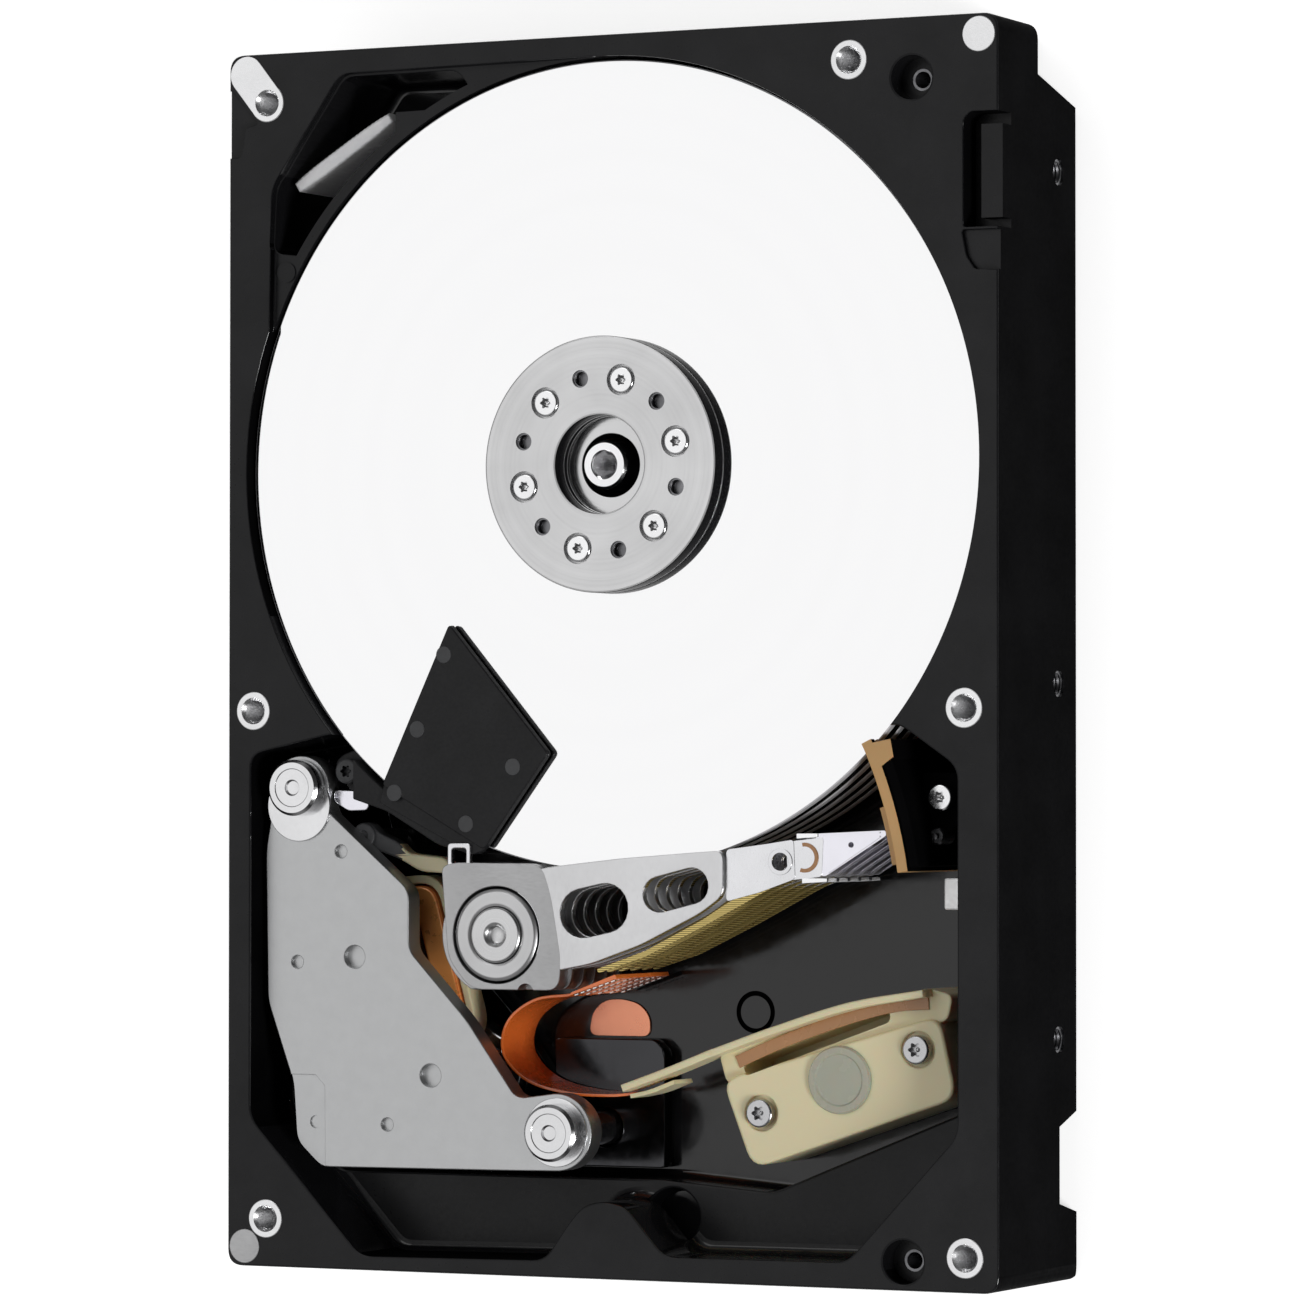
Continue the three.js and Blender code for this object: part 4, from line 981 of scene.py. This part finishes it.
def add_comb():
    bore = circle(PIVOT, BEARING_BORE, 64)
    windows = [slot_outline((-1.1, -30.1), 9, 5.8, 12), slot_outline((9.6, -27.6), 8.6, 4.2, 14)]
    plates = []
    for i in range(PLATTERS + 1):
        low = arm_level(i) - 0.5
        blade = plate("arm", rounded(ARM, 1.2), low, low + 1, windows, 0.1)
        boolean(blade, [prism("bearing_bore", bore, 0, ABOVE)])
        painted(blade, "arm")
        repaint(blade, "gold", lambda at, normal: normal.y < -0.5 and abs(normal.z) < 0.6 and at.x > 0)
        skirt = 0.01 if i else 0.3      # the top one stays clear of the top platter
        boss = plate("boss_plate", rounded(BOSS, 1.6), low - skirt, low + 1.01, [bore], 0.1)
        boolean(boss, [disc("wire_notch", WIRE_NOTCH, 1.1, 22, ABOVE)])
        plates += [blade, painted(boss, "boss")]
    core = prism("comb_core", circle(PIVOT, COMB_RADIUS, 72), *STACK_Z)
    boolean(core, [box("clip", (-40, 20), (-60, -39.6), (0, ABOVE))])
    wing = rounded([(-20.6, -34), (-17.6, -39.6), (-6.4, -39.6), (-5.6, -36), (-14, -32)], 1)
    tail = sector_outline(PIVOT, 6.9, COIL_INNER - 1.9, COIL_ANGLE - 30, COIL_ANGLE + 30)
    boolean(core, [prism("comb_wing", wing, *STACK_Z), prism("comb_tail", tail, *COIL_Z)], "UNION")
    boolean(core, [prism("bearing_bore", bore, 0, ABOVE), disc("wire_notch", WIRE_NOTCH, 1.1, 22, ABOVE)])
    plates.append(painted(bevelled(core, 0.12), "boss"))
    place(joined("arm_block", plates), "actuator", "satin_aluminium", "arm_comb")


def add_bearing():
    bearing = lathe("bearing_cartridge", PIVOT, [(3.42, 8), (5.5, 8), (5.5, 24.15), (5.1, 24.4), (3.75, 24.4),
                                                 (3.42, 24.25)], 96, 0.08)
    place(bearing, "actuator", "bright_steel", "pivot_bearing", material="bearing")
    shaft = lathe("pivot_pin", PIVOT, [(0, 6.9), (3.3, 6.9), (3.3, 24.4), (3.1, 24.6), (1.5, 24.6),
                                       (1.1, 24.3), (1.0, 23.7), (0, 23.5)], 64, 0.06)
    place(shaft, "base", "bright_steel", "pivot_shaft", material="bearing_core")


def coil_outline(grow):
    """Rounded wedge of the coil, grown from its middle; corners as radius and part of its half angle."""
    corners = [(14.2, -1.64), (28.2, -1), (29, -0.5), (29, 0.5), (28.2, 1), (14.2, 1.64)]
    centre = Vector(polar(PIVOT, 21, COIL_ANGLE))
    points = []
    for radius, part in corners:
        out = Vector(polar(PIVOT, radius, COIL_ANGLE + part * COIL_HALF_ANGLE)) - centre
        points.append(tuple(centre + out.normalized() * (out.length + grow)))
    return rounded(points, 2.4 + grow / 2, 8)


def add_coil():
    coil = plate("coil_winding", coil_outline(0), *COIL_Z, [coil_outline(-4.4)], 0.35, 3)
    place(coil, "actuator", "copper_winding", "voice_coil", material="copper")
    outer = prism("coil_overmould", coil_outline(1.6), COIL_Z[0] + 0.3, COIL_Z[1] - 0.3)
    boolean(outer, [prism("coil_space", coil_outline(0.3), 0, ABOVE)])
    boolean(outer, [disc("pivot_space", PIVOT, COIL_INNER - 1.6, 0, ABOVE, 72)])
    place(bevelled(outer, 0.2), "actuator", "cream_plastic", "coil_frame", material="cream")


def suspension_parts(level, faces):
    """One head suspension: base plate, hinge with gold flexure, load beam with rails, slider, wire tail."""
    def heights(low, high):
        return sorted((level + faces * low, level + faces * high))

    def layer(name, outline, low, high, holes=(), material="steel", edge=0.03):
        return painted(plate(name, outline, *heights(low, high), holes, edge), material)

    def rail(start, end):
        a, b = Vector(start), Vector(end)
        side = Vector((a.y - b.y, b.x - a.x)).normalized() * 0.09
        outline = [tuple(a + side), tuple(b + side), tuple(b - side), tuple(a - side)]
        return painted(prism("rail", outline, *heights(0.05, 0.45)), "beam")

    hole = (22.9, -24.2)
    base = [(15.9, -22.8), (20.6, -22.2), (24.6, -21.6), (24.8, -26.2), (20.2, -27.8), (15.9, -28.9)]
    hinge = [(23.6, -21.9), (28.4, -21.3), (28.2, -25.9), (23.8, -26.4)]
    beam = [(27.4, -20.9), (36.3, -20.5), (36.4, -21.1), (28.6, -25.9), (27.2, -25.6)]
    tail = [(15.9, -29.1), (12.8, -31.0), (5.2, -34.8), (-1.1, -37.0), (-0.9, -37.5), (5.3, -35.5),
            (13.0, -31.8), (20.5, -27.9), (25.8, -25.3), (25.4, -24.6), (20.2, -26.9)]
    flexure = sector_outline((26.0, -23.7), 1.3, 1.75, -110, 100, 20)
    x, y = polar(PIVOT, 48.6, 13.5)
    parts = [
        layer("base_plate", rounded(base, 0.5), 0.12, 0.32, [circle(hole, 1.05)]),
        layer("swage_ring", circle(hole, 1.55), 0.0, 0.4, [circle(hole, 1.05)]),
        layer("hinge_spring", rounded(hinge, 0.4), 0.18, 0.3),
        layer("flexure_ring", flexure, 0.04, 0.2, material="brown_film"),
        layer("load_beam", rounded(beam, 0.35), 0.2, 0.34, [circle((31.9, -22.2), 0.32, 16)], "beam"),
        layer("tail", rounded(tail, 0.3), 0.24, 0.36, material="gold"),
        painted(box("slider", (x - 0.6, x + 0.6), (y - 0.5, y + 0.5), heights(0.32, 0.62), 0.03), "chip"),
    ]
    for low, high in (((25.0, -21.5), (27.7, -20.9)), ((25.7, -26.7), (28.9, -26.1))):
        wing = [low, (high[0], low[1] + 0.2), high, (low[0], high[1])]
        parts.append(layer("wing", wing, 0.05, 0.4, (), "bright"))
    return [*parts, rail((28.0, -21.1), (35.6, -20.75)), rail((29.0, -25.4), (35.6, -21.2))]


def add_suspensions():
    for number in range(1, 2 * PLATTERS + 1):
        level, faces = arm_level(number // 2), 1 - 2 * (number % 2)
        arm = joined(f"head_arm_{number}", suspension_parts(level, faces))
        place(arm, "actuator", "nickel_steel", f"suspension_{number}")


def add_head_board():
    """Board on the side of the arm block, with rows of solder pads."""
    outline = rounded([(-5.2, -40.25), (1.1, -38.1), (0.9, -37.6), (-5, -39.85)], 0.15)
    parts = [painted(plate("wire_board", outline, 8.4, 22.6, edge=0.05), "amber")]
    along = Vector((6.3, 2.15)).normalized()
    out = Vector((along.y, -along.x))
    for row in range(5):
        for column in range(7):
            at = Vector((-5.1, -40.28)) + along * (0.7 + column * 0.85) + out * 0.04
            corners = [at, at + along * 0.5, at + along * 0.5 + out * 0.12, at + out * 0.12]
            low = 9.6 + row * PITCH
            parts.append(painted(prism("pad", [tuple(c) for c in corners], low, low + 0.7), "tin"))
    place(joined("head_wiring", parts), "actuator", "amber_film", "head_flex_board")


# ---- voice-coil motor ----------------------------------------------------------------------------

YOKE_LEFT = [(-46.9, -23.2), (-46.6, -41.4), (-43.1, -51.1), (-42.6, -58.3), (-39.2, -61.4), (-13.9, -61.2)]
YOKE_RIGHT = [(-12.6, -52.6), (-19.3, -43.4), (-27.2, -35.1), (-27.2, -27.9)]
POSTS = (POST_UPPER_LEFT, POST_LOWER_RIGHT)


def ear(post, radius, start, end):
    """Round ear about a post, as part of a yoke outline."""
    return [polar(post, radius, degrees) for degrees in range(start, end + 1, 10)]


def add_upper_yoke():
    edge = [*YOKE_LEFT, *ear(POST_LOWER_RIGHT, 4.6, -85, 95), *YOKE_RIGHT, (-38.2, -18.6),
            *ear(POST_UPPER_LEFT, 3.9, -20, 200)]
    yoke = plate("yoke_plate", rounded(edge, 1.2), *YOKE_TOP, edge=0.14, steps=2)
    top = YOKE_TOP[1]
    large = ((-34.6, -36), (-24.2, -50.1))
    small = ((-36.5, -23.3), (-42.5, -36.7), (-40.1, -56), (-30.1, -56.1))
    boolean(yoke, [pocket("dimple", circle(at, 1.4, 40), top - 1, top, 0.1) for at in large]
            + [pocket("dimple", circle(at, 0.8, 32), top - 0.6, top, 0.1) for at in small])
    boolean(yoke, [disc("post_hole", at, 2.4, 0, ABOVE) for at in POSTS])
    step = [(-48, -50.3), (-40, -50.3), (-38.7, -51.6), (-38.6, -63), (-48, -63)]
    boolean(yoke, [pocket("corner_step", step, top - 0.35, top, 0.06)])
    place(yoke, "base", "nickel_steel", "vcm_upper_yoke", material="yoke")


def add_lower_yoke():
    yoke = prism("yoke_base", rounded([*YOKE_LEFT, *YOKE_RIGHT, (-38.5, -18.9)], 1.2), *YOKE_BOTTOM)
    foot = [(-46.4, -17), (-46.9, -24), (-36, -22), (-38.2, -14)]
    wing = rounded([(-14, -61.2), (0.8, -61.2), (0.8, -47.2), (-0.6, -45.8), (-14, -45.8)], 0.6)
    for name, outline in (("foot", foot), ("wing", wing)):
        boolean(yoke, [prism(name, outline, *YOKE_BOTTOM)], "UNION")
    boolean(yoke, [disc("post_hole", at, 2.4, 0, ABOVE) for at in POSTS])
    place(bevelled(yoke, 0.14), "base", "deck_coat", "vcm_lower_yoke", material="black_nickel")


def add_magnets():
    outline = rounded(sector_outline(PIVOT, 14.2, 28.6, 172, 258, 14), 0.5, 2)
    for name, node, low, high in (("top_magnet", "upper_magnet", 16.9, 18.8),
                                  ("low_magnet", "lower_magnet", 9.2, 10.9)):
        piece = plate(name, outline, low, high, edge=0.2)
        place(piece, "base", "magnet_nickel", node, material="magnet")


def add_posts():
    profile = [(0, 6.9), (2, 6.9), (2, 22.2), (3.4, 22.2), (3.4, 23.75), (3.05, 24.1), (2.35, 24.1),
               (2.25, 24.02), (1.0, 24.02), (0.8, 23.7), (0, 23.6)]
    for name, node, at in zip(("post_a", "post_b"), ("vcm_post_upper_left", "vcm_post_lower_right"), POSTS):
        place(lathe(name, at, profile, 64), "base", "bright_steel", node, material="post")
    washers = []
    for post, middle, radius in zip(POSTS, ((-42.2, -17.8), POST_LOWER_RIGHT), (4.3, 4.1)):
        washer = plate("washer", circle(middle, radius, 72), 21.86, 22.18, [circle(post, 2.4, 48)], 0.08)
        washers.append(painted(washer, "post"))
    place(joined("post_washers", washers), "base", "nickel_steel")


# ---- latch, damper, ramp and filter --------------------------------------------------------------

def add_latch():
    outline = [(-36.9, -21.2), (-36.2, -19.9), (-34.6, -19.7), (-33.3, -21), (-30.4, -22.2), (-29.2, -23.5),
               (-24.2, -24), (-23.2, -24.9), (-24.2, -25.9), (-27.6, -25.7), (-30.2, -24.3),
               (-33.8, -23.1), (-36.2, -23)]
    lever = plate("latch_arm", rounded(outline, 0.9), 16.2, 18.4, [circle(LATCH_PIN, 1.0)], 0.3, 2)
    painted(lever, "cream")
    # painted shade: the cream lever's pivot end and body take the dark grey as the shadow over them, leaving
    # the tip cream
    repaint(lever, "dot", lambda at, normal: at.x < -30.4 or (normal.z > 0.5 and at.x < -30))
    place(lever, "latch", "cream_plastic", "latch_lever")
    pin = lathe("latch_pin", LATCH_PIN, [(0, 9.1), (0.9, 9.1), (0.9, 18.45), (1.5, 18.45), (1.5, 18.8),
                                         (1.35, 18.9), (0.7, 18.9), (0.5, 18.6), (0, 18.6)], 40)
    place(pin, "base", "black_plastic", material="dot")
    tab = [(-38.1, -15.9), (-35.2, -16.0), (-33.2, -17.6), (-33.6, -18.3), (-36.2, -18.4), (-38.1, -17.2)]
    stop = plate("stop_tab", rounded(tab, 0.6), 20.38, 20.75, edge=0.1)
    place(stop, "base", "bright_steel", material="beam")


def add_damper():
    """Plates between and over the disks, on one spine beside them."""
    mount = (-35.9, -13.6)
    tip = [(-20.5, 4), (-7.2, -11.5), (-15.8, -23)]
    diamond = rounded([*tip, (-29.6, -15.3)], 0.6)
    blade = rounded([*tip, (-17.6, -23.6), (-30.2, -17.4), (-29.6, -15.3)], 0.5)
    side = rounded([(-37.2, -11.6), (-38.2, -12.6), (-35.8, -16.4), (-29.4, -18.4), (-22.4, -22.4),
                    (-17.6, -23.6), (-15.8, -23), (-20, -15), (-30, -9)], 0.7)
    spine = prism("damper_spine", side, 7.2, 23.5)
    boolean(spine, [disc("disk_space", SPINDLE, PLATTER_RADIUS + 0.6, 0, ABOVE, 256)])
    boolean(spine, [box("tab_step", (-42, -34), (-17, -8), (20.4, ABOVE))])
    boolean(spine, [disc("tab_hole", mount, 1.05, 0, ABOVE)])
    parts = [bevelled(spine, 0.15), plate("damper_top", diamond, 23.2, RIM_Z, edge=0.16, steps=2)]
    for i in range(PLATTERS):
        low, high = (23.2, 23.8) if i == 0 else (arm_level(i) - 0.5, arm_level(i) + 0.5)
        parts.append(plate("damper_blade", blade, low, high, edge=0.1))
    parts = [painted(part, "black") for part in parts]
    for at in ((-21.2, 0.3), (-24.8, -8.6), (-11.9, -13.1), (-27.9, -16.2), (-18.2, -19.9)):
        mark = lathe("mould_mark", at, button(1.0, RIM_Z - 0.1, RIM_Z + 0.02, RIM_Z + 0.05), 32)
        parts.append(painted(mark, "dot"))
    place(joined("air_damper", parts), "base", "black_plastic", "airflow_damper")
    # painted shade: this steel screw takes the dark grey as the shade it sits in
    screw = torx_screw("torx_damper", mount, 1.5, 21.8, 20.7, 9, finish="dot")
    place(screw, "base", "bright_steel", "damper_screw")
    loop, inside = [rounded([(left, high), (right, high), (right, low), (left, low)], radius)
                    for left, right, low, high, radius in ((-20.7, -17.6, -25.2, -22.2, 0.5),
                                                           (-20.1, -18.2, -24.7, -22.8, 0.4))]
    place(plate("stop_loop", loop, 23.5, 24.2, [inside], 0.12), "base", "bright_steel", material="steel")


def add_ramp():
    body = prism("ramp_body", sector_outline(PIVOT, 52.7, 54.05, 8.4, 25.4, 20), *STACK_Z)
    end = [(35.4, -13.6), (33.6, -10.6), (37.2, -9.9), (37.6, -12)]
    boolean(body, [prism("ramp_end", end, *STACK_Z)], "UNION")
    gaps, tracks = [], []
    outline = sector_outline(PIVOT, 51.9, 52.8, 9.5, 17, 12)
    for i in range(PLATTERS):
        top = TOP_PLATTER_Z - PITCH * i
        bottom = top - PLATTER_THICK
        gaps.append(disc("disk_gap", SPINDLE, PLATTER_RADIUS + 0.6, bottom - 0.4, top + 0.4, 256))
        for level in (top + 0.55, bottom - 0.55):
            track = plate("ramp_track", outline, level - 0.2, level + 0.2, edge=0.08)
            tracks.append(painted(track, "tan"))
    boolean(body, gaps)
    painted(bevelled(body, 0.1), "tan")
    # painted shade: the ramp's faces turned towards +X take the dull black coat as their shadow
    repaint(body, "coat_dull_and_shade", lambda at, normal: normal.x > 0.3 and abs(normal.z) < 0.5)
    place(joined("head_ramp", [body, *tracks]), "base", "tan_plastic", "load_ramp")
    mount = (41.1, -16.7)
    foot = prism("ramp_foot", rounded([(38.2, -13.8), (43.6, -13.8), (43.6, -19.4), (38.6, -22.8)], 0.8),
                 15.6, 17.6)
    boolean(foot, [disc("foot_hole", mount, 1.05, 0, ABOVE)])
    # partly painted shade: the black rib outside the ramp stands for the ramp's black holder and for the
    # shade beside the ramp; the foot shares its dull coat
    rib = sector_outline(PIVOT, 54.1, 55.4, 8.8, 23.0, 16)
    boolean(foot, [prism("ramp_rib", rib, STACK_Z[0], 24.0)], "UNION")
    place(bevelled(foot, 0.2), "base", "black_plastic", material="coat_dull_and_shade")
    screw = torx_screw("torx_ramp", mount, 1.6, 19.1, 17.9, 9, 0.8)
    place(screw, "base", "bright_steel", "ramp_screw")
    stud = lathe("ramp_stud", (40.6, -21.2), [(0, 15.7), (1.0, 15.7), (1.0, 18.6), (0.8, 18.8), (0.4, 18.8),
                                              (0, 18.5)], 32)
    place(stud, "base", "bright_steel", material="dark_steel")


def add_filters():
    """Pleated recirculation filter, and the small breather pad beside the right wall."""
    pleats, samples = 24, 96
    start, end = Vector((-43.0, 57.2)), Vector((-29.7, 65.4))
    along = (end - start).normalized()
    out = Vector((-along.y, along.x))
    length = (end - start).length
    front, back = [], []
    for i in range(samples + 1):
        t = i / samples
        wave = 0.03 * math.cos(2 * math.pi * pleats * t)
        crown = 1.0 - 0.3 * (2 * t - 1) ** 4
        at = start + along * (0.2 + (length - 0.4) * t)
        front.append(tuple(at + out * (crown + wave - 0.1)))
        back.insert(0, tuple(at - out * (crown - wave - 0.1)))
    pad = plate("filter_pad", front + back, 9.3, 21.8, edge=0.25, steps=3)
    place(pad, "base", "filter_media", "recirculation_filter", material="felt")
    breather = box("breather_pad", (42.1, 45.2), (-29.7, -26.0), (6.7, 20.0), 0.2)
    place(breather, "base", "filter_media", material="pad")


# ---- flex bracket and cable ----------------------------------------------------------------------

def add_bracket():
    body = rounded([(12.6, -50), (16.6, -60.4), (42.8, -51.6), (40.6, -42)], 2.2)
    lip = rounded([(11.8, -46.9), (38.8, -38.8), (42, -39.6), (41.4, -42.6), (12.9, -50.6)], 1)
    fence = ribbon_outline([(11.9, -46.9), (20.5, -43.9), (30, -41), (39.4, -39.4)], 0.9)
    finger = ribbon_outline([(0.4, -51.2), (6, -49.2), (12.4, -46.7)], 0.9)
    block = plate("bracket_block", body, 6.9, 18, edge=0.35, steps=2)
    for part in (plate("bracket_lip", lip, 6.9, 17.2, edge=0.25),
                 plate("bracket_fence", fence, 6.9, 20, edge=0.2),
                 plate("bracket_finger", finger, 15.6, 20, edge=0.2)):
        boolean(block, [part], "UNION")
    boolean(block, [prism("bracket_slot", slot_outline((24.6, -45.4), 20, 1.7, 20), 9, ABOVE)])
    holes = ((17.8, -53.8), (37.9, -46))
    boolean(block, [pocket("well", circle(at, 2.1, 40), 17.4, 18, 0.2) for at in holes])
    boolean(block, [disc("hole", at, 1.05, 0, ABOVE - 1) for at in holes])
    gate = lathe("bracket_disc", (28, -49.7), [(0, 17.8), (4, 17.8), (4, 18.25), (3.8, 18.5), (3.1, 18.5),
                                               (2.9, 18.38), (0, 18.38)], 64)
    bracket = joined("cable_bracket", [painted(block, "cream"), painted(gate, "milky")])
    place(bracket, "base", "cream_plastic", "flex_bracket")
    lip_path = [(14.4, -47.9), (20.5, -45.3), (28, -42.7), (34.5, -41.0), (39, -40.6)]
    film = plate("lip_film", ribbon_outline(lip_path, 1.5), 17.15, 17.4, edge=0.06)
    place(film, "base", "amber_film", material="brown_film")
    finger_path = [(6.4, -50.4), (3.2, -51.6), (0.6, -52.2)]
    under = plate("finger_film", ribbon_outline(finger_path, 0.5), 13, 18, edge=0.05)
    place(under, "base", "cream_plastic", material="cream")
    for side, at in zip(("left", "right"), holes):
        screw = torx_screw(f"torx_bracket_{side}", at, 1.7, 18.8, 17.7, 8, 0.9, "zinc")
        place(screw, "base", "bright_steel", f"bracket_screw_{side}")


def add_floor_patch():
    """Copper-coloured glossy patch on the deck floor inside the cable loop."""
    patch = [(-2.2, -45.6), (-2.2, -43.2), (-3.6, -41.6), (-6, -41), (-8.4, -41.2), (-10, -42.6),
             (-10.6, -45.6)]
    film = plate("floor_patch", rounded(patch, 1.5), FLOOR_Z - 0.05, FLOOR_Z + 0.25, edge=0.08)
    place(film, "base", "amber_film", material="copper_patch")


def add_cable():
    """Film loop from the head board to the bracket, in one fixed shape."""
    path = [(-7.6, -40.3), (-12.4, -41), (-16, -43.6), (-16.6, -47.4), (-13.4, -50.6), (-8, -52),
            (-2.5, -52.2), (1, -51.9)]
    strip = plate("flex_ribbon", ribbon_outline(path, 0.35, 120), 9.4, 17.6, edge=0.08)
    settle(painted(strip, "amber"))
    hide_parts("flex_cable")
    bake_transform(strip)


# ---- underside -----------------------------------------------------------------------------------

def add_board():
    outline = [(-44.6, -64), (1.6, -64), (1.6, -71.8), (44.6, -71.8), (44.6, 20.9), (-44.6, 20.9)]
    board = prism("controller_board", rounded(outline, 0.8), *BOARD_Z)
    boolean(board, [disc("motor_hole", SPINDLE, 16.1, 0, ABOVE, 128)])
    boolean(board, [disc("board_hole", at, 1.05, 0, ABOVE) for at in BOARD_SCREWS])
    place(board, "base", "board_laminate", "circuit_board", material="board")
    pads = [painted(lathe("screw_pad", at, band(2.0, 3.0, 2.36, 2.42), 40), "tin") for at in BOARD_SCREWS]
    place(joined("screw_pads", pads), "base", "board_laminate")
    for i, at in enumerate(BOARD_SCREWS):
        screw = torx_screw(f"torx_board_{i + 1}", (0, 0), 1.9, 2.6, 1.3, -0.9, 0.85)
        place(moved(screw, (*at, 3.4), UPSIDE_DOWN), "base", "bright_steel", f"board_screw_{i + 1}")


def chip(name, x, y, pins):
    """Flat chip hanging under the board with gull-wing pins along its four sides."""
    dot = lathe("pin_one", (x[0] + 1.4, y[1] - 1.4), [(0, 0.95), (0.5, 0.95), (0.5, 0.86), (0, 0.86)], 24)
    parts = [painted(box("package", x, y, (0.9, 2.1), 0.12), "chip"), painted(dot, "dot")]
    for i in range(pins):
        t = (i + 0.5) / pins
        for across, along in ((x, y), (y, x)):
            middle = along[0] + (along[1] - along[0]) * t
            for edge, sign in zip(across, (-1, 1)):
                spans = [sorted((edge - sign * 0.05, edge + sign * 0.9)), (middle - 0.14, middle + 0.14)]
                if across is y:
                    spans.reverse()
                parts.append(painted(box("pin", *spans, (1.7, 2.38)), "tin"))
    return joined(name, parts)


SMALL_PARTS = 50


def add_electronics():
    """Chips and small parts under the board, the small ones scattered clear of everything else."""
    place(chip("main_controller", (-19, -5), (-38, -24), 14), "base", "black_plastic", "controller_chip")
    place(chip("spindle_driver", (12, 21), (-6, 3), 9), "base", "black_plastic", "motor_driver_chip")
    place(chip("cache_memory", (8, 18), (-36, -26), 10), "base", "black_plastic")
    shuffle = random.Random(7)
    parts = []
    busy = [(-21, -3, -40, -22), (10, 23, -8, 5), (6, 20, -38, -24), (-45, 3, -75, -62)]
    busy += [(x - 4.5, x + 4.5, y - 4.5, y + 4.5) for x, y in BOARD_SCREWS]
    while len(parts) < 3 * SMALL_PARTS:
        x, y = shuffle.uniform(-42, 42), shuffle.uniform(-69, 18)
        near_motor = math.hypot(x - SPINDLE[0], y - SPINDLE[1]) < 19
        if near_motor or any(a < x < b and c < y < d for a, b, c, d in busy):
            continue
        turned = shuffle.random() >= 0.5
        length, width = shuffle.choice([(1.6, 0.8), (1.0, 0.5), (3.2, 1.6), (2.0, 1.25)])
        kind = shuffle.choice(["chip", "tan_part", "tan_part", "grey_part"])
        parts += small_part(x, y, length / 2, width / 2, turned, kind)
        busy.append((x - 2.4, x + 2.4, y - 2.4, y + 2.4))
    place(joined("board_parts", parts), "base", "board_laminate")


def small_part(x, y, half_length, half_width, turned, kind):
    """Two-ended part under the board: its body, and the tinned cap at each end."""
    low = 2.36 - 2 * half_width * 0.7
    middle, side = (y, x) if turned else (x, y)
    across = (side - half_width, side + half_width)

    def block(name, span, heights, material):
        spans = (across, span) if turned else (span, across)
        return painted(box(name, *spans, heights), material)

    inner = (middle - half_length * 0.72, middle + half_length * 0.72)
    caps = [sorted((middle + sign * half_length * 0.7, middle + sign * half_length)) for sign in (-1, 1)]
    return [block("body", inner, (low, 2.38), kind),
            *[block("end_cap", span, (low - 0.02, 2.39), "tin") for span in caps]]


def add_connector():
    """Edge plug with its two openings, each with a keyed blade and a row of contacts."""
    shell = box("plug_shell", (-41.9, 0.5), (-73.2, -65.2), (0.8, 9.2))
    openings = ((-40.4, -17.4), (-13.6, -0.9))
    boolean(shell, [box("plug_opening", span, (-75, -67.2), (2, 8)) for span in openings])
    parts = [painted(bevelled(shell, 0.2), "black")]
    inside, pitch = (-72.6, -67), 1.27
    for left, right in openings:
        start = left + 1.2
        parts.append(painted(box("blade", (start, right - 1.2), inside, (4.6, 5.8), 0.1), "black"))
        parts.append(painted(box("key", (start, left + 2.4), inside, (4.7, 7), 0.1), "black"))
        for i in range(int((right - left - 4) / pitch)):
            x = left + 3.2 + i * pitch
            contact = box("contact", (x - 0.35, x + 0.35), (-72.3, -66.9), (5.78, 5.9))
            lead = box("lead", (x - 0.2, x + 0.2), (-65.3, -63.4), (2.2, 2.6))
            parts += [painted(contact, "gold_plate"), painted(lead, "tin")]
    place(joined("drive_plug", parts), "base", "black_plastic", "sata_connector")


# ---- the whole drive -----------------------------------------------------------------------------

def dress(node, material):
    """Gives a CAD piece that nothing replaces its finish."""
    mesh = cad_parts[node].data
    mesh.materials.clear()
    mesh.materials.append(M[material])


build_deck()
for build in (add_machined_marks, add_platters, add_clamp, add_hub, add_comb, add_bearing, add_coil,
              add_suspensions, add_head_board, add_upper_yoke, add_lower_yoke, add_magnets, add_posts,
              add_latch, add_damper, add_ramp, add_filters, add_bracket, add_floor_patch, add_cable,
              add_board, add_electronics, add_connector):
    build()
dress("motor_stator", "copper")
